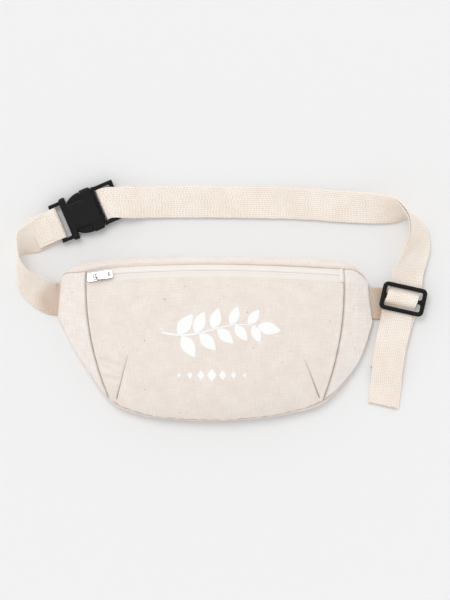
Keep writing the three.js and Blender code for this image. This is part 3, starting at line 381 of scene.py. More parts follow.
def tube(rings: Array, cloth: Array) -> Surface:
    """Closed tubes through rings of points, with their two ends capped.

    Args:
        rings: Points, as tubes x stations x corners x 3.
        cloth: Cloth coordinates, as tubes x stations x corners x 2.

    Returns:
        One surface with every tube.
    """
    count, stations, corners = rings.shape[:3]
    size = stations * corners
    index = np.arange(size).reshape(stations, corners)
    ahead = np.roll(index, -1, axis=1)
    one = np.stack([index[:-1], ahead[:-1], ahead[1:], index[1:]], -1).reshape(-1, 4)
    start = np.arange(count) * size
    quads = (one[None] + start[:, None, None]).reshape(-1, 4)
    caps = [(index[0][::-1] + s).tolist() for s in start] + [(index[-1] + s).tolist() for s in start]
    return Surface(rings.reshape(-1, 3), quads, cloth.reshape(-1, 2), caps)


def threads(start: Array, stop: Array, up: Array, radius: float, sink: float = 0.5) -> Surface:
    """Short stitches, each a low arch of thread between two holes.

    A stitch follows its chord and rises by the sine of the share passed, less
    sink times its radius at both ends.

    Args:
        start: First hole of each stitch.
        stop: Second hole of each stitch.
        up: Direction out of the cloth at each stitch.
        radius: Half the thread's thickness.
        sink: How deep the ends go, in thread radii.

    Returns:
        All stitches as one surface.
    """
    share = np.linspace(0, 1, 6)
    turn = np.linspace(0, 2 * pi, 6, endpoint=False)
    chord = stop - start
    run = unit(chord)
    rise = unit(up)
    side = unit(np.cross(rise, run))
    lift = (np.sin(pi * share) * (1 + sink) - sink) * radius
    middle = start[:, None] + chord[:, None] * share[:, None] + rise[:, None] * lift[:, None]
    ring = side[:, None, None] * np.cos(turn)[:, None] + rise[:, None, None] * np.sin(turn)[:, None]
    rings = middle[:, :, None] + ring * radius * 0.9
    cloth = np.broadcast_to(share[:, None, None] * MM, rings.shape[:3] + (2,))
    return tube(rings, cloth)


def stitch_line(line: Array, up: Array, stitch: float, radius: float) -> Surface:
    """Stitches along a line of points.

    Args:
        line: Points of the seam, close together.
        up: Direction out of the cloth at each point.
        stitch: Length of one stitch with its hole.
        radius: Half the thread's thickness.

    Returns:
        The row of stitches.
    """
    length = run_length(line)
    at = np.arange(stitch / 2, length[-1] - stitch, stitch)
    holes = (values_along(a, length, line) for a in (at, at + stitch * 0.86))
    return threads(*holes, values_along(at, length, up), radius)


def joined(surfaces: list[Surface]) -> Surface:
    """Several surfaces as one."""
    first = np.cumsum([0] + [len(s.points) for s in surfaces[:-1]])
    return Surface(
        np.vstack([s.points for s in surfaces]),
        np.vstack([s.quads + f for s, f in zip(surfaces, first)]),
        np.vstack([s.cloth for s in surfaces]),
        [[int(k + f) for k in cap] for s, f in zip(surfaces, first) for cap in s.caps],
    )


# Shader node groups and finishes


def linear(red: float, green: float, blue: float) -> tuple[float, ...]:
    """Scene colour, with full cover, of a screen colour from 0 to 255."""
    return (*(((c / 255 + 0.055) / 1.055) ** 2.4 for c in (red, green, blue)), 1.0)


@dataclass(frozen=True)
class Stain:
    """A screen colour, and how strongly its mask lays it on."""

    colour: Colour
    share: float = 1.0


@dataclass
class Graph:
    """Short ways to write a node tree."""

    tree: bpy.types.NodeTree

    def fill(self, node: bpy.types.Node, inputs: dict[str | int, object]) -> bpy.types.Node:
        """Links sockets and sets plain values on a node's named inputs."""
        for name, value in inputs.items():
            if isinstance(value, bpy.types.NodeSocket):
                self.tree.links.new(value, node.inputs[name])
            else:
                node.inputs[name].default_value = value
        return node

    def node(
        self, kind: str, inputs: dict[str | int, object] | None = None, **settings: object
    ) -> bpy.types.Node:
        """Adds a node.

        Args:
            kind: The node's type.
            inputs: A value or a socket for each named input.
            settings: The node's own settings, which are set first.

        Returns:
            The node.
        """
        new = self.tree.nodes.new(kind)
        for name, value in settings.items():
            setattr(new, name, value)
        return self.fill(new, inputs or {})

    def call(self, group: bpy.types.NodeTree, inputs: dict[str, object]) -> bpy.types.bpy_prop_collection:
        """Places a node group and gives its outputs."""
        return self.node("ShaderNodeGroup", inputs, node_tree=group).outputs

    def math(self, operation: str, *values: object) -> bpy.types.NodeSocket:
        """Result of a Math node over up to three values."""
        return self.node("ShaderNodeMath", dict(enumerate(values)), operation=operation).outputs[0]

    def times(self, a: object, b: object) -> bpy.types.NodeSocket:
        """Product of two values."""
        return self.math("MULTIPLY", a, b)

    def split(self, vector: object) -> bpy.types.bpy_prop_collection:
        """The three parts of a vector."""
        return self.node("ShaderNodeSeparateXYZ", {0: vector}).outputs

    def mix(self, share: object, a: object, b: object) -> bpy.types.NodeSocket:
        """Colour mix of a and b."""
        return self.node("ShaderNodeMix", {0: share, 6: a, 7: b}, data_type="RGBA").outputs[2]

    def stained(self, base: object, *stains: tuple[Stain, object]) -> bpy.types.NodeSocket:
        """Base colour with each stain where its mask is high, in their order."""
        for stain, mask in stains:
            base = self.mix(self.times(mask, stain.share), base, linear(*stain.colour))
        return base

    def range(
        self, value: object, low: float, high: float, to_low: float = 0.0, to_high: float = 1.0
    ) -> bpy.types.NodeSocket:
        """Value carried smoothly from one range to another, and held at its ends."""
        numbers = {0: value, 1: low, 2: high, 3: to_low, 4: to_high}
        return self.node("ShaderNodeMapRange", numbers, interpolation_type="SMOOTHSTEP").outputs[0]

    def noise(self, vector: object, scale: object, detail: float = 2.0) -> bpy.types.NodeSocket:
        """Noise value at a scale of waves to the metre."""
        inputs = {"Vector": vector, "Scale": scale, "Detail": detail}
        return self.node("ShaderNodeTexNoise", inputs).outputs[0]

    def drawn(self, vector: object, scale: Colour, detail: float) -> bpy.types.NodeSocket:
        """Noise with waves of its own number to the metre along each axis."""
        place = self.node("ShaderNodeMapping", {"Vector": vector, "Scale": scale})
        return self.noise(place.outputs[0], 1.0, detail)

    def bump(self, height: bpy.types.NodeSocket, depth: float, below: object = None) -> bpy.types.NodeSocket:
        """Normal of a height of 0 to 1 that is depth metres, over a coarser bump.

        Args:
            height: Height, 0 to 1.
            depth: Metres from 0 to 1.
            below: Normal of the coarser bump.

        Returns:
            The normal.
        """
        coarse = {} if below is None else {"Normal": below}
        inputs = {"Strength": 1.0, "Distance": depth, "Height": height}
        return self.node("ShaderNodeBump", inputs | coarse).outputs[0]

    def cloth(self) -> bpy.types.NodeSocket:
        """The piece's own cloth coordinates."""
        return self.node("ShaderNodeUVMap", uv_map="Cloth").outputs[0]

    def solid(self) -> bpy.types.NodeSocket:
        """Object coordinates."""
        return self.node("ShaderNodeTexCoord").outputs["Object"]

    def seam(self) -> bpy.types.NodeSocket:
        """Painted shade that the piece's mesh carries."""
        return self.node("ShaderNodeAttribute", attribute_name="Seam").outputs["Fac"]


def new_group(
    name: str, inputs: tuple[str, ...], outputs: tuple[str, ...]
) -> tuple[Graph, bpy.types.bpy_prop_collection, bpy.types.Node]:
    """Starts a shader node group.

    Args:
        name: Name of the group.
        inputs: Names of its values besides Vector.
        outputs: Names of the values that it puts out.

    Returns:
        Its graph, what it is given, and its output node.
    """
    tree = bpy.data.node_groups.new(name, "ShaderNodeTree")
    tree.interface.new_socket("Vector", in_out="INPUT", socket_type="NodeSocketVector")
    for labels, way in ((inputs, "INPUT"), (outputs, "OUTPUT")):
        for label in labels:
            tree.interface.new_socket(label, in_out=way, socket_type="NodeSocketFloat")
    return Graph(tree), tree.nodes.new("NodeGroupInput").outputs, tree.nodes.new("NodeGroupOutput")


def weave_group() -> bpy.types.NodeTree:
    """Plain weave: two sets of round threads that take turns on top.

    Height is the upper thread's round back; which set lies on top follows the
    product of the two sines. Slub is slow noise drawn out along the threads.
    """
    g, given, sink = new_group("plain_weave", ("Thread",), ("Height", "Gap", "Slub"))
    turn = g.math("DIVIDE", pi, given["Thread"])
    warp, weft = (g.math("SINE", g.times(part, turn)) for part in g.split(given["Vector"])[:2])
    top = g.range(g.times(warp, weft), -0.25, 0.25)
    over, under = g.math("ABSOLUTE", warp), g.math("ABSOLUTE", weft)
    height = g.node("ShaderNodeMix", {0: top, 2: over, 3: under}, data_type="FLOAT").outputs[0]
    gap = g.range(g.math("MAXIMUM", over, under), 0.25, 0.6, 1.0, 0.0)
    slow, fast = 90, 1100
    slubs = (g.drawn(given["Vector"], (*waves, 1), 1.0) for waves in ((slow, fast), (fast, slow)))
    slub = g.range(g.math("ADD", *slubs), 0.7, 1.3)
    g.fill(sink, {"Height": height, "Gap": gap, "Slub": slub})
    return g.tree


def herringbone_group() -> bpy.types.NodeTree:
    """Herringbone webbing: ribs that slant one way, then the other.

    The slant is a sine of the place along the belt plus the place across it,
    folded back at every column's end; round warp ribs run along the belt.
    """
    g, given, sink = new_group("herringbone", ("Pitch", "Column", "Rib"), ("Height", "Line"))
    along, across = g.split(given["Vector"])[:2]
    lean, slant_share = 1.7, 0.25
    folded = g.math("PINGPONG", g.math("ADD", across, 1.0), given["Column"])
    place = g.math("DIVIDE", g.math("ADD", along, g.times(folded, lean)), given["Pitch"])
    slant = g.math("SINE", g.times(place, 2 * pi))
    rib = g.math("ABSOLUTE", g.math("SINE", g.times(g.math("DIVIDE", across, given["Rib"]), pi)))
    height = g.math("ADD", g.times(slant, slant_share), g.times(rib, 1 - slant_share))
    g.fill(sink, {"Height": height, "Line": g.range(height, -0.1, 0.45, 1.0, 0.0)})
    return g.tree


def fleck_group() -> bpy.types.NodeTree:
    """Seed flecks of unbleached cotton.

    A fleck is the small neighbourhood of a random point, kept only where a
    second random value is high.
    """
    g, given, sink = new_group("seed_flecks", ("Spacing", "Size"), ("Mask",))
    frayed, bend, kept_over = 900.0, 0.9 * MM, 0.62
    bent = g.node("ShaderNodeTexNoise", {"Vector": given["Vector"], "Scale": frayed, "Detail": 2.0})
    shift = g.node("ShaderNodeVectorMath", {0: bent.outputs["Color"], "Scale": bend}, operation="SCALE")
    moved = {0: given["Vector"], 1: shift.outputs[0]}
    place = g.node("ShaderNodeVectorMath", moved, operation="ADD").outputs[0]
    scale = g.math("DIVIDE", 1.0, given["Spacing"])
    cell = g.node("ShaderNodeTexVoronoi", {"Vector": place, "Scale": scale})
    colour = g.node("ShaderNodeSeparateColor", {0: cell.outputs["Color"]})
    kept = g.math("GREATER_THAN", colour.outputs[0], kept_over)
    radius = g.times(given["Size"], g.math("ADD", colour.outputs[1], 0.35))
    near = g.math("SUBTRACT", 1.0, g.math("DIVIDE", cell.outputs["Distance"], radius))
    g.fill(sink, {"Mask": g.times(g.range(near, 0.0, 0.5), kept)})
    return g.tree


def grain_group() -> bpy.types.NodeTree:
    """Fine moulded or cast grain, with slow patches that rough it up."""
    g, given, sink = new_group("grain", ("Scale",), ("Height", "Patch"))
    fine = g.noise(given["Vector"], given["Scale"], 3.0)
    slow = g.noise(given["Vector"], 120.0, 3.0)
    g.fill(sink, {"Height": fine, "Patch": g.range(slow, 0.35, 0.7)})
    return g.tree


def edge_wear_and_light_group() -> bpy.types.NodeTree:
    """Rubbed edges and painted edge light: where the surface is sharpest, broken up by noise."""
    g, given, sink = new_group("edge_wear_and_painted_light", ("Amount",), ("Mask",))
    sharp = g.range(g.node("ShaderNodeNewGeometry").outputs["Pointiness"], 0.51, 0.62)
    broken = g.range(g.noise(given["Vector"], 900.0, 3.0), 0.35, 0.65, 0.2, 1.0)
    g.fill(sink, {"Mask": g.times(g.times(sharp, broken), given["Amount"])})
    return g.tree


def dust_group() -> bpy.types.NodeTree:
    """Lint and dust that settles on what faces up."""
    g, given, sink = new_group("dust", ("Amount",), ("Mask",))
    up = g.split(g.node("ShaderNodeNewGeometry").outputs["Normal"])[2]
    spots = g.range(g.noise(given["Vector"], 700.0, 4.0), 0.5, 0.8)
    g.fill(sink, {"Mask": g.times(g.times(g.range(up, 0.2, 1.0), spots), given["Amount"])})
    return g.tree


class Effects:
    """The node groups that the finishes share."""

    def __init__(self) -> None:
        """Builds each group once."""
        self.weave = weave_group()
        self.herringbone = herringbone_group()
        self.flecks = fleck_group()
        self.grain = grain_group()
        self.edge_wear_and_light = edge_wear_and_light_group()
        self.dust = dust_group()


@dataclass(frozen=True)
class Finish:
    """What every finish has: a name and the plain constants of its shader."""

    name: str
    rough: float = 0.9
    sheen: float = 0.0
    metallic: float = 0.0
    specular: float = 0.5
    sheen_rough: float = 0.45

    def start(self) -> tuple[bpy.types.Material, Graph]:
        """An empty material and its graph."""
        material = bpy.data.materials.new(self.name)
        material.use_nodes = True
        material.node_tree.nodes.clear()
        return material, Graph(material.node_tree)

    def finished(self, material: bpy.types.Material, g: Graph, maps: dict[str, object]) -> bpy.types.Material:
        """Feeds maps to one Principled BSDF that holds the plain constants.

        Args:
            material: The started material.
            g: Its graph.
            maps: A socket or a value for each named input.

        Returns:
            The material.
        """
        plain = {
            "Roughness": self.rough,
            "Metallic": self.metallic,
            "Sheen Weight": self.sheen,
            "Sheen Roughness": self.sheen_rough,
            "Specular IOR Level": self.specular,
        }
        body = g.fill(g.node("ShaderNodeBsdfPrincipled", plain), maps)
        g.node("ShaderNodeOutputMaterial", {0: body.outputs[0]})
        return material


@dataclass(frozen=True)
class Canvas(Finish):
    """Natural cotton canvas: plain weave, slubs, seed flecks and soft patches."""

    colour: Colour = (250, 241, 234)
    shade: Colour = (244, 234, 226)
    slubs: Stain = Stain((232, 219, 206), 0.5)
    gaps: Stain = Stain((186, 170, 152), 0.3)
    seeds: Stain = Stain((122, 96, 68), 0.42)
    # Painted shade beside seams, along the bottom seam and in the darts
    seams: Stain = Stain((128, 98, 74), 0.85)
    thread: float = 0.55 * MM
    relief: float = 0.07 * MM
    softness: float = 0.25 * MM
    seed_spacing: float = 6.5 * MM
    seed_size: float = 0.12

    def material(self, effects: Effects) -> bpy.types.Material:
        """Builds the material on the cloth coordinates.

        Args:
            effects: The shared node groups.

        Returns:
            The material.
        """
        material, g = self.start()
        place = g.cloth()
        weave = g.call(effects.weave, {"Vector": place, "Thread": self.thread})
        seeds = {"Vector": place, "Spacing": self.seed_spacing, "Size": self.seed_size}
        flecks = g.call(effects.flecks, seeds)
        patches = g.range(g.noise(place, 55.0, 8.0), 0.3, 0.7)
        base = g.mix(patches, linear(*self.colour), linear(*self.shade))
        stains = (
            (self.slubs, weave["Slub"]),
            (self.gaps, weave["Gap"]),
            (self.seeds, flecks["Mask"]),
            (self.seams, g.seam()),
        )
        soft = g.bump(g.noise(place, 220.0, 4.0), self.softness)
        return self.finished(material, g, {
            "Base Color": g.stained(base, *stains),
            "Roughness": g.range(weave["Slub"], 0.0, 1.0, self.rough, self.rough - 0.1),
            "Normal": g.bump(weave["Height"], self.relief, soft),
        })


@dataclass(frozen=True)
class Webbing(Finish):
    """Cotton webbing: herringbone over warp ribs, a little fuzz and flecks."""

    colour: Colour = (255, 246, 236)
    shade: Colour = (251, 238, 225)
    lines: Stain = Stain((218, 190, 163))
    seeds: Stain = Stain((140, 112, 84), 0.35)
    # Painted shadow where the strap comes out of a wing's end
    seams: Stain = Stain((176, 136, 98), 0.8)
    pitch: float = 2.9 * MM
    column: float = 4.8 * MM
    rib: float = 1.9 * MM
    relief: float = 0.34 * MM
    fuzziness: float = 0.06 * MM
    seed_spacing: float = 9 * MM
    seed_size: float = 0.06

    def material(self, effects: Effects) -> bpy.types.Material:
        """Builds the material on the cloth coordinates.

        Args:
            effects: The shared node groups.

        Returns:
            The material.
        """
        material, g = self.start()
        place = g.cloth()
        values = {"Vector": place, "Pitch": self.pitch, "Column": self.column, "Rib": self.rib}
        weave = g.call(effects.herringbone, values)
        seeds = {"Vector": place, "Spacing": self.seed_spacing, "Size": self.seed_size}
        flecks = g.call(effects.flecks, seeds)
        patches = g.range(g.noise(place, 30.0, 3.0), 0.35, 0.7)
        base = g.mix(patches, linear(*self.colour), linear(*self.shade))
        uneven = g.range(g.noise(place, 130.0, 2.0), 0.35, 0.65, 0.22, 0.6)
        stains = (
            (self.lines, g.times(weave["Line"], uneven)),
            (self.seeds, flecks["Mask"]),
            (self.seams, g.seam()),
        )
        fuzz = g.noise(place, 2400.0, 2.0)
        coarse = g.bump(weave["Height"], self.relief)
        return self.finished(material, g, {
            "Base Color": g.stained(base, *stains),
            "Roughness": g.range(fuzz, 0.3, 0.7, self.rough - 0.08, self.rough),
            "Normal": g.bump(fuzz, self.fuzziness, coarse),
        })


@dataclass(frozen=True)
class TapeWeave(Finish):
    """Zip tape: close twill with fine cords along its length."""

    colour: Colour = (247, 242, 237)
    shade: Colour = (241, 234, 227)
    lines: Stain = Stain((222, 211, 200), 0.18)
    pitch: float = 1.1 * MM
    column: float = 40 * MM
    cord: float = 0.8 * MM
    relief: float = 0.08 * MM

    def material(self, effects: Effects) -> bpy.types.Material:
        """Builds the material on the cloth coordinates.

        Args:
            effects: The shared node groups.

        Returns:
            The material.
        """
        material, g = self.start()
        place = g.cloth()
        values = {"Vector": place, "Pitch": self.pitch, "Column": self.column, "Rib": self.cord}
        weave = g.call(effects.herringbone, values)
        base = g.mix(g.noise(place, 60.0), linear(*self.colour), linear(*self.shade))
        return self.finished(material, g, {
            "Base Color": g.stained(base, (self.lines, weave["Line"])),
            "Roughness": g.range(weave["Height"], 0.0, 1.0, self.rough, self.rough - 0.12),
            "Normal": g.bump(weave["Height"], self.relief),
        })


@dataclass(frozen=True)
class Thread(Finish):
    """Sewing thread and zip coil: one colour with slight twist and shade."""

    colour: Colour = (240, 230, 218)
    shade: Colour = (226, 213, 198)
    twist: float = 0.04 * MM

    def material(self, effects: Effects) -> bpy.types.Material:
        """Builds the material on Object coordinates.

        Args:
            effects: The shared node groups.

        Returns:
            The material.
        """
        material, g = self.start()
        grain = g.call(effects.grain, {"Vector": g.solid(), "Scale": 3000.0})
        return self.finished(material, g, {
            "Base Color": g.mix(grain["Patch"], linear(*self.colour), linear(*self.shade)),
            "Roughness": g.range(grain["Height"], 0.3, 0.7, self.rough - 0.15, self.rough),
            "Normal": g.bump(grain["Height"], self.twist),
        })


@dataclass(frozen=True)
class Ink(Finish):
    """White print that sits on the threads and lets them show."""

    colour: Colour = (255, 255, 254)
    gaps: Stain = Stain((232, 226, 219), 0.12)
    thread: float = 0.55 * MM
    relief: float = 0.03 * MM

    def material(self, effects: Effects) -> bpy.types.Material:
        """Builds the material on the cloth coordinates of the panel under it.

        Args:
            effects: The shared node groups.

        Returns:
            The material.
        """
        material, g = self.start()
        weave = g.call(effects.weave, {"Vector": g.cloth(), "Thread": self.thread})
        return self.finished(material, g, {
            "Base Color": g.stained(linear(*self.colour), (self.gaps, weave["Gap"])),
            "Roughness": g.range(weave["Slub"], 0.0, 1.0, self.rough, self.rough - 0.12),
            "Normal": g.bump(weave["Height"], self.relief),
        })


@dataclass(frozen=True)
class Nickel(Finish):
    """Bright nickel plate: fine polish lines, duller patches, rubbed edges that are partly a painted dark
    reflection, and painted shade on upright sides.
    """

    colour: Colour = (228, 229, 232)
    # Darker edges: partly rubbed plating, partly a painted dark reflection
    edge_wear_and_light_colour: Stain = Stain((104, 103, 101))
    # Painted shade on upright sides, carried by the mesh
    sides: Stain = Stain((70, 71, 74))
    edge_wear_and_light: float = 0.85
    polish: float = 0.01 * MM

    def material(self, effects: Effects) -> bpy.types.Material:
        """Builds the material on Object coordinates.

        Args:
            effects: The shared node groups.

        Returns:
            The material.
        """
        material, g = self.start()
        place = g.solid()
        grain = g.call(effects.grain, {"Vector": place, "Scale": 2600.0})
        edge_wear_and_light = g.call(effects.edge_wear_and_light, {"Vector": place, "Amount": self.edge_wear_and_light})
        lines = g.drawn(place, (300, 5200, 300), 2.0)
        dull = g.math("ADD", g.times(grain["Patch"], 0.14), g.times(lines, 0.12))
        return self.finished(material, g, {
            "Base Color": g.stained(linear(*self.colour), (self.edge_wear_and_light_colour, edge_wear_and_light["Mask"]), (self.sides, g.seam())),
            "Roughness": g.math("ADD", dull, self.rough),
            "Normal": g.bump(lines, self.polish),
        })


@dataclass(frozen=True)
class MouldedPlastic(Finish):
    """Black acetal: fine moulded grain, paler edges that are partly rubbed and partly a painted highlight,
    and a little dust.
    """

    colour: Colour = (27, 27, 28)
    patches: Stain = Stain((29, 29, 30))
    # Paler edges: partly rubbed, partly a painted highlight
    edge_wear_and_light_colour: Stain = Stain((66, 66, 66))
    lint: Stain = Stain((150, 146, 140))
    edge_wear_and_light: float = 0.6
    dust: float = 0.03
    relief: float = 0.03 * MM

    def material(self, effects: Effects) -> bpy.types.Material:
        """Builds the material on Object coordinates.

        Args:
            effects: The shared node groups.

        Returns:
            The material.
        """
        material, g = self.start()
        place = g.solid()
        grain = g.call(effects.grain, {"Vector": place, "Scale": 2200.0})
        edge_wear_and_light = g.call(effects.edge_wear_and_light, {"Vector": place, "Amount": self.edge_wear_and_light})
        dust = g.call(effects.dust, {"Vector": place, "Amount": self.dust})
        stains = ((self.patches, grain["Patch"]), (self.edge_wear_and_light_colour, edge_wear_and_light["Mask"]), (self.lint, dust["Mask"]))
        return self.finished(material, g, {
            "Base Color": g.stained(linear(*self.colour), *stains),
            "Roughness": g.math("ADD", g.times(grain["Patch"], 0.06), self.rough),
            "Normal": g.bump(grain["Height"], self.relief),
        })


@dataclass(frozen=True)
class Paper(Finish):
    """Plain pale studio floor."""

    colour: Colour = (242, 242, 242)
    tooth: float = 0.02 * MM

    def material(self) -> bpy.types.Material:
        """An even grey with the faintest tooth."""
        material, g = self.start()
        tooth = g.bump(g.noise(g.solid(), 400.0), self.tooth)
        return self.finished(material, g, {"Base Color": linear(*self.colour), "Normal": tooth})


# The bag's form


@dataclass(frozen=True)
class BagForm:
    """Sizes of the sewn bag and the formula of its skin.

    Each section runs from its foot on the bottom edge to its head on the top
    edge. It is a superellipse over the outline seam, fuller below than above,
    with its plan bowed sideways.
    """

    canvas: float = 1.2 * MM
    tape: float = 0.7 * MM
    gap: float = 0.3 * MM
    web_width: float = 30 * MM
    web_thick: float = 1.5 * MM
    width: float = 300 * MM
    top_rise: float = 24.5 * MM
    bottom_drop: float = 97 * MM
    depth: float = 31 * MM
    edge_height: float = 7 * MM
    web_level: float = 36 * MM
    web_tilt: float = -0.764
    seam_bow: float = 8.4 * MM
    lower_round: float = 2.4
    upper_round: float = 3.2
    end_round: float = 6.0
    strip_height: float = 17 * MM
    rim_show: float = 5 * MM
    back_press: float = 1.25
    dart_depth: float = 1.6 * MM
    dart_width: float = 5 * MM
    tape_show: float = 6.8 * MM
    tape_lap: float = 3 * MM
    steps: int = 480

    @property
    def half(self) -> float:
        """Half the bag's width."""
        return self.width / 2

    @property
    def end_depth(self) -> float:
        """Thickness of the wing ends."""
        return 2 * self.canvas + self.web_thick + 4 * self.gap

    @property
    def end_mouth(self) -> float:
        """Height of the wing ends' mouths."""
        return self.web_width + 2 * self.canvas + 6 * self.gap

    @property
    def half_height(self) -> float:
        """Half the bag's height."""
        return (self.end_mouth + self.top_rise + self.bottom_drop) / 2

    def belt_level(self, x: Array | float) -> Array | float:
        """Height of the belt's axis, along Y, at x."""
        return self.web_level + tan(radians(self.web_tilt)) * x

    def section(self, at: Array) -> dict[str, Array]:
        """Sizes of the sections at row numbers, each as a column of its own.

        Args:
            at: Row numbers.

        Returns:
            A column of values for each size.
        """
        row = dict(zip(SECTION_COLUMNS, table_values(SECTIONS, at).T))
        full = np.maximum(row["full"], 0)
        foot_x, head_x = row["foot"] * self.half, row["head"] * self.half
        sizes = {
            "foot_x": foot_x,
            "foot_y": self.belt_level(foot_x) - self.end_mouth / 2 - row["drop"] * self.bottom_drop,
            "head_x": head_x,
            "head_y": self.belt_level(head_x) + self.end_mouth / 2 + row["rise"] * self.top_rise,
            "depth": lerp(self.end_depth, self.depth, row["full"]),
            "edge": lerp(self.end_depth / 2, self.edge_height, np.sqrt(full)),
            "bow": row["bow"] * self.seam_bow,
            "flat": np.clip(row["flat"], 0, 1),
            "strip": np.maximum(row["strip"], 0) * self.strip_height,
            "rim": np.maximum(row["rim"], 0) * self.rim_show,
        }
        return {name: value[:, None] for name, value in sizes.items()}

    @staticmethod
    def hump(share: Array, lower: Array, upper: Array) -> tuple[Array, Array]:
        """Superellipse over a section: how far across, and how high.

        Args:
            share: Shares of the half turn.
            lower: Power of the lower half.
            upper: Power of the upper half.

        Returns:
            The share across and the share of the height.
        """
        power = np.where(share < 0.5, lower, upper)
        side = np.abs(np.cos(pi * share)) ** (2 / power)
        across = np.where(share < 0.5, 1 - side, 1 + side) / 2
        return across, np.abs(np.sin(pi * share)) ** (2 / power)

    @staticmethod
    def plan(size: dict[str, Array], across: Array) -> tuple[Array, Array]:
        """Plan places a share of the way across a section, bowed sideways."""
        x = lerp(size["foot_x"], size["head_x"], across) + size["bow"] * 4 * across * (1 - across)
        return x, lerp(size["foot_y"], size["head_y"], across)

    def curve(self, at: Array) -> tuple[Array, Array]:
        """Fine points of whole sections and their running lengths.

        Args:
            at: Row numbers.

        Returns:
            Points, and the length up to each of them.
        """
        size = self.section(at)
        share = np.linspace(0, 1, self.steps + 1)[None]
        lower = lerp(self.lower_round, self.end_round, size["flat"])
        upper = lerp(self.upper_round, self.end_round, size["flat"])
        across, high = self.hump(share, lower, upper)
        x, y = self.plan(size, across)
        points = np.stack([x, y, lerp(size["edge"], size["depth"], high)], -1)
        step = np.linalg.norm(np.diff(points, axis=1), axis=-1)
        return points, np.concatenate([np.zeros((len(at), 1)), np.cumsum(step, axis=1)], axis=1)

    def total(self, at: Array) -> Array:
        """Whole length of the front skin's sections."""
        return self.curve(at)[1][:, -1]

    def skin(self, at: Array, share: Array) -> Array:
        """Points of the front skin.

        Args:
            at: Row numbers, one for each column of the grid.
            share: Shares of the section's length, columns x rows.

        Returns:
            Points, columns x rows x 3.
        """
        points, lengths = self.curve(at)
        shelf = 2.0 * np.arange(len(at))[:, None]
        known = (lengths / lengths[:, -1:] + shelf).ravel()
        wanted = (np.clip(share, 0, 1) + shelf).ravel()
        found = [np.interp(wanted, known, points[..., k].ravel()) for k in range(3)]
        return np.stack(found, -1).reshape(*share.shape, 3)

    def back(self, at: Array, share: Array) -> Array:
        """Points of the back: the same outline, pressed flat where it lies.

        Args:
            at: Row numbers.
            share: Shares of the way across, columns x rows.

        Returns:
            Points, columns x rows x 3.
        """
        size = self.section(at)
        power = lerp(self.upper_round, self.end_round, size["flat"])
        across, high = self.hump(share, power, power)
        x, y = self.plan(size, across)
        z = size["edge"] * (1 - np.minimum(1, self.back_press * high))
        return np.stack([x, y, z], -1)

    def crest(self, at: Array) -> Array:
        """Lower edge of the top strip, as a share of the section's length."""
        return 1 - self.section(at)["strip"][:, 0] / self.total(at)

    def share(self, at: Array, length: float) -> Array:
        """A length across the skin as a share of the section's length."""
        return length / self.total(at)

    def rim_edge(self, at: Array) -> Array:
        """Seam of the rim under the front, as a share of the length."""
        return self.section(at)["rim"][:, 0] / self.total(at)

    def between_seams(self, side: int = 1) -> tuple[float, float]:
        """Rows half a gap inside the side seams, or outside them with side -1."""
        first = LEFT_SEAM + side * self.rows_for(self.gap / 2, LEFT_SEAM)
        return first, RIGHT_SEAM - side * self.rows_for(self.gap / 2, RIGHT_SEAM)

    def rows_for(self, length: float, at: float) -> float:
        """How many rows of the table a length along the bag is, near a row."""
        near = self.skin(np.array([at - 0.1, at + 0.1]), np.full((2, 1), 0.5))[:, 0]
        return length * 0.2 / float(np.linalg.norm(near[1] - near[0]))


class Margins(NamedTuple):
    """Distances from a panel's four edges."""

    left: Array
    right: Array
    bottom: Array
    top: Array


@dataclass(frozen=True)
class Edges:
    """How deep the cloth turns in along a panel's four edges."""

    left: float = 0.0
    right: float = 0.0
    bottom: float = 0.0
    top: float = 0.0
    turn: float = 1.1 * MM
    puff: float = 0.45

    def relief(self, patch: "Patch") -> Array:
        """Depth of the turned edges, with a soft swelling beside each.

        A turned edge falls off as the square exponential of the distance from
        it, and the swelling is another one further in.

        Args:
            patch: The panel.

        Returns:
            Height over the skin at each point.
        """
        total = np.zeros(patch.points.shape[:2])
        for depth, away in zip((self.left, self.right, self.bottom, self.top), patch.margins()):
            total -= depth * falloff(away, self.turn)
            total += depth * self.puff * falloff(away - 3.2 * self.turn, 1.6 * self.turn)
        return total


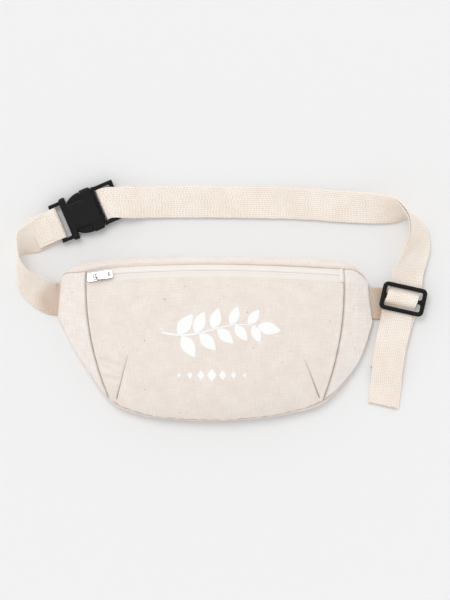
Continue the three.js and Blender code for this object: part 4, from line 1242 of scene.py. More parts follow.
@dataclass
class Patch:
    """A grid of points on the bag, with its normals and cloth coordinates."""

    points: Array
    normals: Array
    along: Array
    across: Array

    @classmethod
    def over(cls, points: Array, outwards: float = 1.0) -> "Patch":
        """Works out normals and lengths from a grid of points.

        Args:
            points: Columns x rows x 3.
            outwards: -1 where the grid's own normals point into the bag.

        Returns:
            The patch.
        """
        normals = unit(np.cross(np.gradient(points, axis=0), np.gradient(points, axis=1))) * outwards
        step_u = np.linalg.norm(np.diff(points, axis=0), axis=-1)
        step_v = np.linalg.norm(np.diff(points, axis=1), axis=-1)
        along = np.concatenate([np.zeros((1, points.shape[1])), np.cumsum(step_u, 0)], 0)
        across = np.concatenate([np.zeros((points.shape[0], 1)), np.cumsum(step_v, 1)], 1)
        return cls(points, normals, along, across)

    def margins(self) -> Margins:
        """Distances of every point from the four edges."""
        across_left = self.across[:, -1:] - self.across
        return Margins(self.along, self.along[-1:] - self.along, self.across, across_left)

    @property
    def plan(self) -> tuple[Array, Array]:
        """Places of the points in plan."""
        return self.points[..., 0], self.points[..., 1]

    def cloth(self) -> Array:
        """Cloth coordinates in metres: plan places, let out on steep parts."""
        slope = self.normals[..., :2]
        steep = self.points[..., 2] * np.clip(1 - self.normals[..., 2], 0, 1)
        lean = slope / np.maximum(np.linalg.norm(slope, axis=-1, keepdims=True), 0.05)
        return self.points[..., :2] + steep[..., None] * lean

    def closed(self, relief: Array, thick: float, below: float = 0.0, shade: Array | None = None) -> Surface:
        """A cloth wall: outer face pushed out by relief, inner face under it.

        Args:
            relief: Height of the outer face over the skin.
            thick: Thickness of the cloth.
            below: How far under the skin the cloth lies.
            shade: Painted shade of each point, 0 to 1.

        Returns:
            The closed wall.
        """
        outer = self.points + self.normals * (relief - below)[..., None]
        inner = outer - self.normals * thick
        made = wall(outer[None], inner[None], self.cloth()[None])
        if shade is not None:
            made.shade = np.tile(shade.ravel(), 2)
        return made

    def seam_shade(self, left: float = 0, right: float = 0, bottom: float = 0, top: float = 0) -> Array:
        """Painted shade beside sewn edges, which falls off within a millimetre or so.

        Args:
            left: Darkness at the left edge, 0 to 1.
            right: Darkness at the right edge.
            bottom: Darkness at the bottom edge.
            top: Darkness at the top edge.

        Returns:
            Darkness of each point.
        """
        total = np.zeros(self.points.shape[:2])
        for dark, away in zip((left, right, bottom, top), self.margins()):
            total += dark * falloff(away, 0.5 * MM)
        return total

    def gathered(self, rows: Array, half: float, height: float, reach: float) -> None:
        """Draws the grid towards grooves, so that it is fine beside them.

        A point closer than reach moves along the surface to the line, to its
        distance squared over reach.

        Args:
            rows: Grooves, as in DARTS.
            half: Half the bag's width.
            height: Half the bag's height.
            reach: How far from the line points move.
        """
        for row in rows:
            x, y = self.plan
            away, along = groove(x, y, row, half, height)
            pull = np.clip(1 - away / reach, 0, 1)
            dx = (lerp(row[0], row[2], along) * half - x) * pull
            dy = (lerp(row[1], row[3], along) * height - y) * pull
            n = self.normals
            dz = -(n[..., 0] * dx + n[..., 1] * dy) / np.maximum(n[..., 2], 0.2)
            self.points = self.points + np.stack([dx, dy, dz], -1)


@dataclass
class Bag:
    """The sewn canvas body: front, back, two wings and top strip."""

    form: BagForm
    effects: Effects
    seam: Edges = Edges(left=1.0 * MM, right=1.0 * MM, bottom=0.6 * MM, top=0.25 * MM, turn=0.9 * MM)
    wing_seam: Edges = Edges(left=0.8 * MM, right=0.8 * MM, bottom=0.8 * MM, top=0.5 * MM)
    strip_seam: Edges = Edges(bottom=0.9 * MM, top=0.7 * MM, turn=1.2 * MM)
    pucker: float = 0.4 * MM
    pucker_wave: float = 11 * MM
    waviness: float = 0.5 * MM
    dart_slit: float = 0.8 * MM
    dart_reach: float = 3.2 * MM
    rim_tuck: float = 1.6 * MM
    stitch: float = 2.9 * MM
    thread_radius: float = 0.17 * MM
    cloth: Canvas = Canvas("natural_canvas", sheen=0.25)
    # A lighter, pinker copy of the canvas for the wings; its extra lightness is painted light for their
    # sloping faces
    painted_light_side_cloth: Canvas = Canvas("painted_light_canvas", sheen=0.25, colour=(253, 246, 242), shade=(248, 239, 233))
    thread: Thread = Thread("sewing_thread")

    def grid(
        self,
        start: float,
        stop: float,
        low: Callable[[Array], Array],
        high: Callable[[Array], Array],
        columns: int,
        rows: int,
    ) -> Patch:
        """A patch of the front skin between two rows and two shares.

        Args:
            start: First row of the table.
            stop: Last row.
            low: Share of the section's length at the bottom edge, for rows.
            high: The same at the top edge.
            columns: Steps along the bag.
            rows: Steps up the bag.

        Returns:
            The patch.
        """
        at = np.linspace(start, stop, columns + 1)
        bottom, top = low(at)[:, None], high(at)[:, None]
        share = lerp(bottom, top, np.linspace(0, 1, rows + 1)[None])
        return Patch.over(self.form.skin(at, share))

    def folds(self, x: Array, y: Array) -> Array:
        """Darts, creases and slow waves of the front at places in plan.

        A dart is a sharp groove that fades towards its tip, in a wider dip.
        A crease is a soft groove that is deepest in its middle.

        Args:
            x: Places in plan.
            y: Places in plan.

        Returns:
            Height over the skin.
        """
        form = self.form
        total = undulation(x, y, 62 * MM, 4) * self.waviness
        for row in DARTS:
            away, along = groove(x, y, row, form.half, form.half_height)
            fade = 1 - 0.9 * along**2
            total -= 0.8 * form.dart_depth * np.exp(-away / self.dart_slit) * fade
            total -= 0.6 * form.dart_depth * falloff(away, form.dart_width) * fade
        for row in CREASES:
            away, along = groove(x, y, row, form.half, form.half_height)
            fade = np.sin(pi * (0.12 + 0.88 * along)) ** 0.7
            total -= row[4] * form.dart_depth * 0.7 * falloff(away, row[5] * form.dart_width * 0.6) * fade
        return total

    def slow_waves(self, patch: Patch, size: float, seed: int, share: float) -> Array:
        """Long shallow waves of slack cloth."""
        return undulation(*patch.plan, size, seed) * self.waviness * share

    def puckers(self, patch: Patch, away: Array, seed: int) -> Array:
        """Gathers along a seam: uneven waves along it that die out away from it.

        Args:
            patch: The panel.
            away: Distance from the seam.
            seed: Picks the unevenness.

        Returns:
            Height over the skin.
        """
        uneven = 2.2 * undulation(patch.along, 0 * away, 60 * MM, seed)
        wave = np.sin(2 * pi * patch.along / self.pucker_wave + uneven)
        return self.pucker * wave * np.exp(-away / (6 * MM))

    def ripples(self, patch: Patch, away: Array, share: float, wave: float, reach: float) -> Array:
        """Small even waves up a side seam that die out away from it."""
        return share * self.pucker * np.sin(2 * pi * patch.across / wave) * np.exp(-away / reach)

    def foot(self, at: Array) -> Array:
        """Lower edge of the front and wings."""
        return self.form.rim_edge(at) + self.form.share(at, 2 * self.form.gap)

    def front(self) -> bpy.types.Object:
        """The front panel between the side seams and under the zip."""
        form = self.form
        start, stop = form.between_seams()
        top_share = lambda at: form.crest(at) - form.share(at, 2 * form.tape_show)
        patch = self.grid(start, stop, self.foot, top_share, 290, 150)
        patch.gathered(DARTS, form.half, form.half_height, self.dart_reach)
        left, right, bottom, top = patch.margins()
        hold = 1 - falloff(np.minimum(np.minimum(left, right), top), 6 * MM)
        relief = self.folds(*patch.plan) * hold + self.puckers(patch, bottom, 7) + self.seam.relief(patch)
        for away, wave in ((left, 14 * MM), (right, 13 * MM)):
            relief += self.ripples(patch, away, 0.35, wave, 5 * MM)
        # Painted shade along the side seams, under the zip, along the gathered bottom seam and in the darts
        shade = patch.seam_shade(left=0.75, right=0.75, top=0.2)
        gathers = np.clip(0.5 + 0.9 * undulation(patch.along, 0 * bottom, 34 * MM, 15), 0, 1)
        shade += gathers * falloff(bottom, 0.9 * MM)
        for row in DARTS:
            away, along = groove(*patch.plan, row, form.half, form.half_height)
            shade += falloff(away, 0.45 * MM) * (0.95 - 0.6 * along)
        made = patch.closed(relief, form.canvas, shade=shade)
        return made.placed("front_cloth", self.cloth.material(self.effects))

    def wing(self, name: str, start: float, stop: float, material: bpy.types.Material) -> bpy.types.Object:
        """One wing, from the side seam to its sewn end.

        Args:
            name: Name of the piece.
            start: First row of the table.
            stop: Last row.
            material: Its finish.

        Returns:
            The wing's cloth.
        """
        form = self.form
        high = lambda at: form.crest(at) - form.share(at, form.gap)
        patch = self.grid(start, stop, self.foot, high, 44, 110)
        edge = patch.margins()
        on_right = start > RIGHT_SEAM - 1
        relief = self.slow_waves(patch, 45 * MM, 9, 0.8)
        relief *= 1 - falloff(np.minimum(edge.left, edge.right), 7 * MM)
        relief += self.puckers(patch, edge.bottom, 3) * 0.7 + self.wing_seam.relief(patch)
        relief += self.ripples(patch, edge.left if on_right else edge.right, 0.5, 12 * MM, 6 * MM)
        # Painted shade along the wing's edges, darkest at the side seam
        sides = (0.6, 0.15) if on_right else (0.15, 0.6)
        shade = patch.seam_shade(*sides, 0.4, 0.5)
        return patch.closed(relief, form.canvas, shade=shade).placed(name, material)

    def strip(self, material: bpy.types.Material) -> bpy.types.Object:
        """The strip above the zip, sloping back to the top edge.

        Args:
            material: Its finish.

        Returns:
            The strip's cloth.
        """
        form = self.form
        head = lambda at: 1 - form.share(at, form.gap)
        patch = self.grid(STRIP_START, STRIP_STOP, form.crest, head, 210, 14)
        edge = patch.margins()
        relief = self.slow_waves(patch, 50 * MM, 12, 0.6)
        relief += self.strip_seam.relief(patch)
        relief *= np.minimum(1, np.minimum(edge.left, edge.right) / (20 * MM))
        # Painted shade along the strip's lower seam, darker towards the right
        shade = patch.seam_shade(bottom=1.0) * lerp(0.1, 0.6, edge.left / edge.left[-1:])
        return patch.closed(relief, form.canvas, shade=shade).placed("strip_cloth", material)

    def back(self, material: bpy.types.Material) -> bpy.types.Object:
        """The back panel: up round the bottom edge, flat, and to the top edge.

        Args:
            material: Its finish.

        Returns:
            The back's cloth.
        """
        form = self.form
        at = np.linspace(0, LAST_SECTION, 181)
        rim = np.maximum(form.rim_edge(at), 0)[:, None]
        share = rim * np.linspace(1, 0.2, 5)[None] + form.share(at, form.gap / 4)[:, None]
        tucked = share[:, :1] + form.share(at, self.rim_tuck)[:, None]
        turned_up = form.skin(at, np.hstack([tucked, share]))
        flat_share = np.broadcast_to(np.linspace(0, 1, 61)[None], (len(at), 61))
        points = np.concatenate([turned_up, form.back(at, flat_share)], axis=1)
        patch = Patch.over(points, -1.0)
        # The rim keeps its own normals, because the grid turns sharply below it
        patch.normals[:, : turned_up.shape[1]] = Patch.over(turned_up, -1.0).normals
        lies = np.clip(points[..., 2] / (2 * MM), 0, 1)
        relief = self.puckers(patch, patch.across, 7) * 0.5 * lies
        # The tucked row, the edge, and the rounded rows beside it
        for rows, lift in ((0, -1.9 * MM), (1, -0.35 * MM), (slice(2, 4), 0.2 * MM)):
            relief[:, rows] += lift
        # Painted shade on the tucked row and the rim's edge
        shade = np.zeros(relief.shape)
        shade[:, :2] = 0.6, 0.35
        return patch.closed(relief, form.canvas, shade=shade).placed("back_cloth", material, 70)

    def stitches(self) -> bpy.types.Object:
        """Seams sewn along both sides of the zip and round the top strip."""
        form = self.form
        at = np.linspace(LEFT_SEAM + 0.05, RIGHT_SEAM - 0.05, 400)
        below = form.crest(at) - form.share(at, 2 * form.tape_show + 2.2 * MM)
        above = form.crest(at) + form.share(at, 1.8 * MM)
        beside = np.linspace(-1, 1, 3)[None] * 0.002
        lines = []
        for share, lift in ((below, 0.05 * MM), (above, 0.12 * MM)):
            patch = Patch.over(form.skin(at, share[:, None] + beside))
            up = patch.normals[:, 1]
            lines.append(stitch_line(patch.points[:, 1] + up * lift, up, self.stitch, self.thread_radius))
        return joined(lines).placed("bag_stitches", self.thread.material(self.effects))

    def build(self) -> list[bpy.types.Object]:
        """Builds, dresses and hangs every cloth piece of the body."""
        left, right = self.form.between_seams(-1)
        front = self.front()
        material = front.data.materials[0]
        # The wings' canvas, made lighter as painted light
        pale = self.painted_light_side_cloth.material(self.effects)
        made = {
            "front_panel": front,
            "back_panel": self.back(material),
            "wing_left": self.wing("wing_left_cloth", 0, left, pale),
            "wing_right": self.wing("wing_right_cloth", right, LAST_SECTION, pale),
            "top_strip": self.strip(material),
        }
        for node, piece in made.items():
            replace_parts(piece, node)
        return hung([*made.values(), self.stitches()])


@dataclass
class Print:
    """A white sprig printed on the front, laid on its curved cloth."""

    bag: Bag
    centre: tuple[float, float] = (-3 * MM, 9 * MM)
    length: float = 100 * MM
    stem_share: float = 0.84
    stem_half: float = 0.9 * MM
    leaf: float = 25 * MM
    pairs: int = 5
    spread: float = 52.0
    arch: float = 5 * MM
    row_ends: tuple[float, float] = (-34 * MM, 28 * MM)
    row_level: float = -34 * MM
    row_sizes: tuple[float, ...] = (1.7, 2.6, 3.5, 4.6, 3.5, 2.6, 1.7)
    lift: float = 0.06 * MM
    thick: float = 0.1 * MM
    finish: Ink = Ink("white_print", rough=0.75)

    def stem(self, share: Array) -> tuple[Array, Array, Array]:
        """Stem line: a shallow wave; returns x, y and its heading.

        Args:
            share: Shares of the stem's length.

        Returns:
            Places x and y, and the heading.
        """
        run, wave = self.length * self.stem_share, pi * (share - 0.5) * 1.5
        x = self.centre[0] + (share - 0.5) * run
        y = self.centre[1] + self.arch * np.sin(wave)
        return x, y, np.arctan2(self.arch * pi * 1.5 * np.cos(wave), run)

    def leaves(self) -> Array:
        """Plan places of every leaf: long pointed ovals in pairs, one at the tip.

        A leaf's half width is the sine of its length's share, skewed to the
        foot, and its rib bends a little to the tip.
        """
        share = np.linspace(0.1, 0.9, self.pairs)
        x, y, heading = self.stem(np.concatenate([share, share + 0.05, [1.0]]))
        spread = np.full(self.pairs, radians(self.spread))
        turn = heading + np.concatenate([spread, -spread, [0.0]])
        size = self.leaf * np.concatenate([np.linspace(1.0, 0.72, self.pairs)] * 2 + [[0.95]])
        x, y, turn, heading, size = (v[:, None, None] for v in (x, y, turn, heading, size))
        s = np.linspace(0, 1, 25)[None, :, None]
        t = np.linspace(-1, 1, 9)[None, None]
        half = 0.25 * size * np.sin(pi * s**0.85) ** 0.9
        along = size * (0.06 + 0.94 * s) + 0 * t
        side = half * t + 0.08 * size * s**2 * np.sign(turn - heading)
        c, n = np.cos(turn), np.sin(turn)
        return np.stack([x + along * c - side * n, y + along * n + side * c], -1)

    def stalk(self) -> Array:
        """Plan places of the stem as a thin tapering strip."""
        share = np.linspace(-0.06, 1.0, 121)
        x, y, heading = (v[:, None] for v in self.stem(share))
        t = np.linspace(-1, 1, 9)[None]
        half = (self.stem_half * (1.05 - 0.6 * np.clip(share, 0, 1)))[:, None] * t
        return np.stack([x - half * np.sin(heading), y + half * np.cos(heading)], -1)[None]

    def diamonds(self) -> Array:
        """Plan places of a short row of diamonds under the sprig."""
        x = np.linspace(*self.row_ends, len(self.row_sizes))[:, None, None]
        size = (np.array(self.row_sizes) * MM)[:, None, None]
        side = np.linspace(-1, 1, 13)
        u, v = side[None, :, None], side[None, None]
        return np.stack([x + size * (u + v) / 2, self.row_level + size * (u - v) * 0.7 + 0 * x], -1)

    def on_skin(self, plan: Array) -> tuple[Array, Array]:
        """Finds the skin above places in plan.

        Starts from the middle of the skin and corrects row and share by the
        plan error over the local slopes, eight times.

        Args:
            plan: Places, ... x 2.

        Returns:
            Points and outward normals, ... x 3.
        """
        form = self.bag.form
        flat = plan.reshape(-1, 2)
        at = np.interp(flat[:, 0], SECTIONS[:, 0] * form.half, np.arange(len(SECTIONS)))
        share = np.full(len(flat), 0.45)
        step = 1e-3
        for _ in range(8):
            here = form.skin(at, share[:, None])[:, 0]
            by_at = (form.skin(at + step, share[:, None])[:, 0] - here) / step
            by_share = (form.skin(at, share[:, None] + step)[:, 0] - here) / step
            miss = flat - here[:, :2]
            det = by_at[:, 0] * by_share[:, 1] - by_at[:, 1] * by_share[:, 0]
            at = at + (miss[:, 0] * by_share[:, 1] - miss[:, 1] * by_share[:, 0]) / det
            share = share + (by_at[:, 0] * miss[:, 1] - by_at[:, 1] * miss[:, 0]) / det
        normal = unit(np.cross(by_at, by_share))
        return here.reshape(*plan.shape[:-1], 3), normal.reshape(*plan.shape[:-1], 3)

    def build(self) -> list[bpy.types.Object]:
        """Lays the print on the cloth, with the cloth's own folds."""
        sheets = []
        for plan in (self.leaves(), self.stalk(), self.diamonds()):
            points, normals = self.on_skin(plan)
            lift = self.bag.folds(points[..., 0], points[..., 1]) + self.lift + self.thick
            lifted = points + normals * lift[..., None]
            sheets.append(wall(lifted, lifted - normals * self.thick, plan))
        piece = joined(sheets).placed("sprig_print", self.finish.material(self.bag.effects))
        return hung([piece])


@dataclass
class Zip:
    """Two tapes, the coil under them, the end tab, and the slider's plating."""

    bag: Bag
    slit: float = 0.5 * MM
    lip: float = 0.45 * MM
    lip_turn: float = 0.2 * MM
    coil_width: float = 5 * MM
    coil_half: float = 0.75 * MM
    coil_pitch: float = 1.3 * MM
    coil_wire: float = 0.3 * MM
    end_tab: float = 4.2 * MM
    tab_edge: Edges = Edges(left=0.35 * MM, right=0.5 * MM, bottom=0.3 * MM, top=0.3 * MM, turn=0.7 * MM)
    mould_grain: float = 0.14 * MM
    weave: TapeWeave = TapeWeave("zip_tape", rough=0.85, sheen=0.2)
    coil: Thread = Thread("coil_nylon", rough=0.55)
    plate: Nickel = Nickel("nickel_plate", rough=0.12, metallic=1.0)

    def middle(self, at: Array) -> Array:
        """Share of the slit between the tapes."""
        return self.bag.form.crest(at) - self.bag.form.share(at, self.bag.form.tape_show)

    def tape(self, name: str, side: int, material: bpy.types.Material) -> bpy.types.Object:
        """One tape, just under the canvas, with a raised lip at the slit.

        Args:
            name: Name of the piece.
            side: 1 above the slit, -1 below it.
            material: Its finish.

        Returns:
            The tape.
        """
        form = self.bag.form
        at_slit = lambda at: self.middle(at) + side * form.share(at, self.slit / 4)
        at_edge = lambda at: self.middle(at) + side * form.share(at, form.tape_show + form.tape_lap)
        low, high = (at_slit, at_edge) if side > 0 else (at_edge, at_slit)
        patch = self.bag.grid(*form.between_seams(), low, high, 300, 14)
        edge = patch.margins()
        away = edge.bottom if side > 0 else edge.top
        relief = self.lip * falloff(away - 1.0 * MM, 1.0 * MM) - self.lip_turn * falloff(away, 0.4 * MM)
        return patch.closed(relief, form.tape, form.canvas + form.gap).placed(name, material)

    def teeth(self) -> bpy.types.Object:
        """The coil: one flattened ring of wire for each turn."""
        form = self.bag.form
        at = np.linspace(*form.between_seams(), 400)
        rows = self.middle(at)[:, None] + np.linspace(-1, 1, 3)[None] * 0.004
        patch = Patch.over(form.skin(at, rows))
        length = patch.along[:, 1]
        place = np.arange(self.coil_pitch, length[-1] - self.coil_pitch, self.coil_pitch)
        centre = values_along(place, length, patch.points[:, 1])
        rise = unit(values_along(place, length, patch.normals[:, 1]))
        run = unit(np.gradient(centre, axis=0))
        side = np.cross(rise, run)
        centre = centre - rise * (form.canvas + form.tape + 2 * form.gap + self.coil_half)
        turn = np.linspace(0, 2 * pi, 13)[None, :, None]
        around = np.linspace(0, 2 * pi, 6, endpoint=False)[None, None, :, None]
        wide, tall = self.coil_width / 2 - self.coil_wire, self.coil_half - self.coil_wire
        ring = centre[:, None] + side[:, None] * wide * np.cos(turn) + rise[:, None] * tall * np.sin(turn)
        ring = ring + run[:, None] * (turn / (2 * pi) - 0.5) * self.coil_pitch * 0.8
        outward = unit(side[:, None] * np.cos(turn) + rise[:, None] * np.sin(turn))
        wire = outward[:, :, None] * np.cos(around) + run[:, None, None] * np.sin(around)
        rings = ring[:, :, None] + wire * self.coil_wire
        made = tube(rings, np.zeros(rings.shape[:3] + (2,)))
        return made.placed("coil_teeth", self.coil.material(self.bag.effects))

    def tab(self, material: bpy.types.Material) -> bpy.types.Object:
        """Fold of tape over the zip's far end.

        Args:
            material: Its finish.

        Returns:
            The fold.
        """
        form = self.bag.form
        stop = form.between_seams()[1]
        start = stop - form.rows_for(self.end_tab, RIGHT_SEAM)
        low = lambda at: form.crest(at) - form.share(at, 2 * form.tape_show - form.gap)
        high = lambda at: form.crest(at) - form.share(at, form.gap)
        patch = self.bag.grid(start, stop, low, high, 10, 26)
        made = patch.closed(self.tab_edge.relief(patch), form.canvas - form.gap / 2, form.gap / 2)
        return made.placed("end_tab_cloth", material)

    def build(self) -> list[bpy.types.Object]:
        """Builds the cloth of the zip and plates its slider and pull."""
        material = self.weave.material(self.bag.effects)
        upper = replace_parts(self.tape("tape_upper_weave", 1, material), "zip_tape_upper")
        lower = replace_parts(self.tape("tape_lower_weave", -1, material), "zip_tape_lower")
        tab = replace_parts(self.tab(material), "zip_end_tab")
        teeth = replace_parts(self.teeth(), "zip_coil")
        plate = self.plate.material(self.bag.effects)
        slider = moulded("zip_slider", "slider_plated", plate, self.mould_grain, 4)
        pull = moulded("zip_pull", "pull_plated", plate, self.mould_grain, 3)
        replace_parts(slider, "zip_slider")
        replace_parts(pull, "zip_pull")
        return [
            *hung([upper, lower, tab]),
            *hung([teeth]),
            *hung([slider]),
            *hung([pull], "pull_tab"),
        ]


def moulded(
    node: str, name: str, material: bpy.types.Material, grain: float, passes: int
) -> bpy.types.Object:
    """A rigid piece with the rounded edges of its mould.

    The node's mesh is copied, its doubles are merged, and it is turned into
    an even mesh of small squares whose corners relax over a few passes.

    Args:
        node: The CAD node that it repeats.
        name: Name of the piece.
        material: Its finish.
        grain: Side of the squares.
        passes: How often corners relax.

    Returns:
        The piece, with its modifiers applied.
    """
    shape = bmesh.new()
    shape.from_mesh(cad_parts[node].data)
    bmesh.ops.remove_doubles(shape, verts=shape.verts, dist=1e-6)
    mesh = bpy.data.meshes.new(name)
    shape.to_mesh(mesh)
    shape.free()
    piece = bpy.data.objects.new(name, mesh)
    bpy.context.scene.collection.objects.link(piece)
    squares = piece.modifiers.new("squares", "REMESH")
    squares.mode = "VOXEL"
    squares.voxel_size = grain
    relax = piece.modifiers.new("relax", "SMOOTH")
    relax.factor = 0.5
    relax.iterations = passes
    bpy.context.view_layer.update()
    done = bpy.data.meshes.new_from_object(piece.evaluated_get(bpy.context.evaluated_depsgraph_get()))
    piece.modifiers.clear()
    piece.data = done
    done.name = name
    normals = np.empty(3 * len(done.vertices), np.float32)
    done.vertices.foreach_get("normal", normals)
    sides = done.attributes.new("Seam", "FLOAT", "POINT")
    # Painted shade where the surface stands upright, gone well before it lies flat
    sides.data.foreach_set("value", np.clip(1.25 - 1.27 * np.abs(normals[2::3]), 0, 1))
    done.materials.clear()
    done.materials.append(material)
    done.polygons.foreach_set("use_smooth", np.ones(len(done.polygons), bool))
    return piece


@dataclass
class Belt:
    """Both straps of webbing, on the route of the frame's solids."""

    form: BagForm
    effects: Effects
    tuck: float = 13 * MM
    socket_length: float = 33 * MM
    plug_show: float = 22 * MM
    buckle_thick: float = 10 * MM
    buckle_out: float = 2.6 * MM
    buckle_up: float = 70.4 * MM
    buckle_turn: float = 23.0
    bar_thick: float = 3.6 * MM
    bar_deep: float = 4.4 * MM
    bar_inset: float = 0.8 * MM
    bar_room: float = 3 * MM
    sill: float = 2.3 * MM
    plug_arm: float = 5.6 * MM
    loop_room: float = 0.8 * MM
    left_reach: float = 40 * MM
    left_bend: float = 4.4 * MM
    return_length: float = 24 * MM
    belt_lead: float = 20.5 * MM
    belt_drop: float = 18.9 * MM
    layer_spread: float = 0.06
    glide_height: float = 27 * MM
    glide_bar: float = 4.2 * MM
    glide_thick: float = 3 * MM
    glide_out: float = 29.1 * MM
    glide_up: float = 4 * MM
    glide_turn: float = -12.5
    leg_turn: float = -14.0
    fold_reach: float = 69 * MM
    tail_length: float = 103 * MM
    tail_sway: float = -2.6 * MM
    step: float = 0.9 * MM
    corners: int = 28
    side_power: float = 0.55
    face_power: float = 0.32
    wander: float = 0.25 * MM
    shade_start: float = 12 * MM
    shade_reach: float = 9 * MM
    sewn_start: float = 7 * MM
    sewn_stop: float = 2.5 * MM
    sewn_inset: float = 3 * MM
    stitch: float = 3.2 * MM
    thread_radius: float = 0.22 * MM
    fray_count: int = 46
    fray_radius: float = 0.18 * MM
    webbing: Webbing = Webbing("cotton_webbing", sheen=0.25)
    thread: Thread = Thread("strap_thread")

    def __post_init__(self) -> None:
        """Works out the places that follow from the sizes."""
        form = self.form
        self.layer = form.web_thick + form.gap
        self.left_bar = self.bar_inset + self.bar_deep / 2
        socket_start = self.left_bar + self.bar_deep / 2 + form.web_thick + 6 * form.gap + self.bar_room
        self.mouth = socket_start + self.socket_length
        loop_start = self.mouth + self.sill + self.loop_room
        self.male_bar = loop_start + form.web_thick + 2 * form.gap + self.bar_deep / 2
        self.buckle_length = self.mouth + self.plug_show
        self.buckle_level = self.buckle_thick / 2 + form.gap
        self.loop_rise = self.bar_thick / 2 + form.gap + form.web_thick / 2
        buckle_y = form.belt_level(-form.half) + self.buckle_up
        self.buckle_at = np.array([-form.half - self.buckle_out, buckle_y])
        glide_y = form.belt_level(form.half) + self.glide_up
        self.glide_at = np.array([form.half + self.glide_out, glide_y])
        self.base = form.web_thick / 2 + form.gap
        over_belt = self.base + 3 * self.layer + form.web_thick / 2
        self.glide_level = over_belt + form.gap + self.glide_thick / 2
        ahead, aside = (self.buckle_length * f(radians(self.buckle_turn)) for f in (cos, sin))
        self.reach = self.glide_at[0] - self.buckle_at[0] - ahead - self.belt_lead
        self.climb = self.buckle_at[1] + aside - self.belt_drop - self.glide_at[1]

    def edge_pairs(self, x: Array, y: Array, z: Array, turn: Array, rise: Array) -> Array:
        """Both edges from the lower one and the direction of the width.

        Args:
            x: Places of the lower edge.
            y: Places of the lower edge.
            z: Heights of the lower edge.
            turn: Heading of the width in plan, in degrees.
            rise: How steeply the width stands, in degrees.

        Returns:
            Six values a row: the lower edge and the upper one.
        """
        x, y, z, turn, rise = np.broadcast_arrays(x, y, z, np.radians(turn), np.radians(rise))
        flat = np.cos(rise) * self.form.web_width
        high = (x + flat * np.cos(turn), y + flat * np.sin(turn), z + np.sin(rise) * self.form.web_width)
        return np.stack([x, y, z, *high], -1).astype(float)

    def in_wing(self, section: int, inwards: int) -> Array:
        """Edges of the belt's first stretch, inside the wing's end.

        Args:
            section: Row of the wing's end.
            inwards: 1 where inwards is to the right, else -1.

        Returns:
            Edge pairs.
        """
        mouth_x = SECTIONS[section, 0] * self.form.half
        low = self.form.belt_level(mouth_x) - self.form.web_width / 2
        x = mouth_x + inwards * self.tuck * np.array([1, 0.5, 0])
        return self.edge_pairs(x, low, self.form.end_depth / 2, 90, 0)

    def in_buckle(self, along: Array, across: Array | float, up: Array | float) -> Array:
        """Points from places along the buckle, across it and up.

        Args:
            along: Places along it from its end.
            across: Places to the left of its axis.
            up: Heights over its middle.

        Returns:
            Points.
        """
        c, s = cos(radians(self.buckle_turn)), sin(radians(self.buckle_turn))
        along, across, up = np.broadcast_arrays(along, across, up)
        x = self.buckle_at[0] + along * c - across * s
        y = self.buckle_at[1] + along * s + across * c
        return np.stack([x, y, self.buckle_level + up], -1)

    def buckle_pairs(self, along: Array, up: Array | float) -> Array:
        """Edges of belt that lies square in the buckle."""
        half = self.form.web_width / 2
        return np.hstack([self.in_buckle(along, -half, up), self.in_buckle(along, half, up)])

    def bar_loop(self, bar: float, side: int, start: float, stop: float) -> Array:
        """Edges of belt round a bar: a half circle with a short flat.

        Args:
            bar: Place of the bar.
            side: 1 for a loop round its far side, else -1.
            start: First angle.
            stop: Last angle.

        Returns:
            Edge pairs.
        """
        angle = np.linspace(start, stop, 13)
        along = bar + side * ((self.bar_deep - self.bar_thick) / 2 + self.loop_rise * np.cos(angle))
        return self.buckle_pairs(along, self.loop_rise * np.sin(angle))

    def turned(self, degrees: float, across: Array | float, along: Array | float, up: Array | float) -> Array:
        """Points from places across and along the adjuster's frame.

        Args:
            degrees: Turn of the frame.
            across: Places across it.
            along: Places along it.
            up: Heights.

        Returns:
            Points.
        """
        c, s = cos(radians(degrees)), sin(radians(degrees))
        across, along, up = np.broadcast_arrays(across, along, up)
        x = self.glide_at[0] + across * c - along * s
        y = self.glide_at[1] + across * s + along * c
        return np.stack([x, y, up + 0 * x], -1).astype(float)

    def turned_pairs(
        self, degrees: float, along: Array | float, up: Array | float, sway: Array | float = 0.0
    ) -> Array:
        """Edges of belt that lies square in the adjuster's frame.

        Args:
            degrees: Turn of the frame.
            along: Places along it.
            up: Heights.
            sway: How far the belt lies aside.

        Returns:
            Edge pairs.
        """
        half = self.form.web_width / 2
        pair = [self.turned(degrees, sway + side, along, up) for side in (half, -half)]
        return np.concatenate([np.atleast_2d(p) for p in pair], axis=1)

    def left_route(self) -> Array:
        """Left wing, round its flattened turn, and over the buckle's bar."""
        form = self.form
        mouth_x = SECTIONS[0, 0] * form.half
        out, up, turn, rise, lift = refined(LEFT_TURN, 3).T
        x = mouth_x - out * self.left_reach
        y = form.belt_level(mouth_x) + up * (self.buckle_up - self.left_bend)
        bend = self.edge_pairs(x, y, lift * form.web_width, turn, rise)
        share = np.array([0.35, 0.7, 1.0])
        back = self.buckle_pairs(self.left_bar - share * self.return_length, lerp(self.loop_rise, 0, share))
        return np.vstack([self.in_wing(0, 1), bend, self.bar_loop(self.left_bar, 1, -pi / 2, pi / 2), back])

    def hidden_fold(self) -> Array:
        """Right wing, slanted fold under the adjuster, and the folded leg."""
        form = self.form
        lean = self.leg_turn
        mouth_x = SECTIONS[-1, 0] * form.half
        mouth_y = form.belt_level(mouth_x)
        half = form.web_width / 2
        low_reach, high_reach = (
            (mouth_y - side * half - self.turned(lean, side * half, 0, 0)[1]) / cos(radians(lean))
            for side in (1, -1)
        )
        # Out of the wing, its upper edge reaching the slanted fold first
        low = self.turned(lean, half, low_reach, self.base)
        high = self.turned(lean, -half, high_reach, self.base)
        settled_x = lerp(mouth_x, high[0], 0.75)
        rows = [[settled_x, mouth_y - half, self.base, settled_x, mouth_y + half, self.base]]
        for share in (0.3, 0.65):
            low_x, high_x = lerp(high[0], low[0], share), high[0] - 0.5 * MM * (1 - share)
            rows.append([low_x, low[1], self.base, high_x, high[1], high[2]])
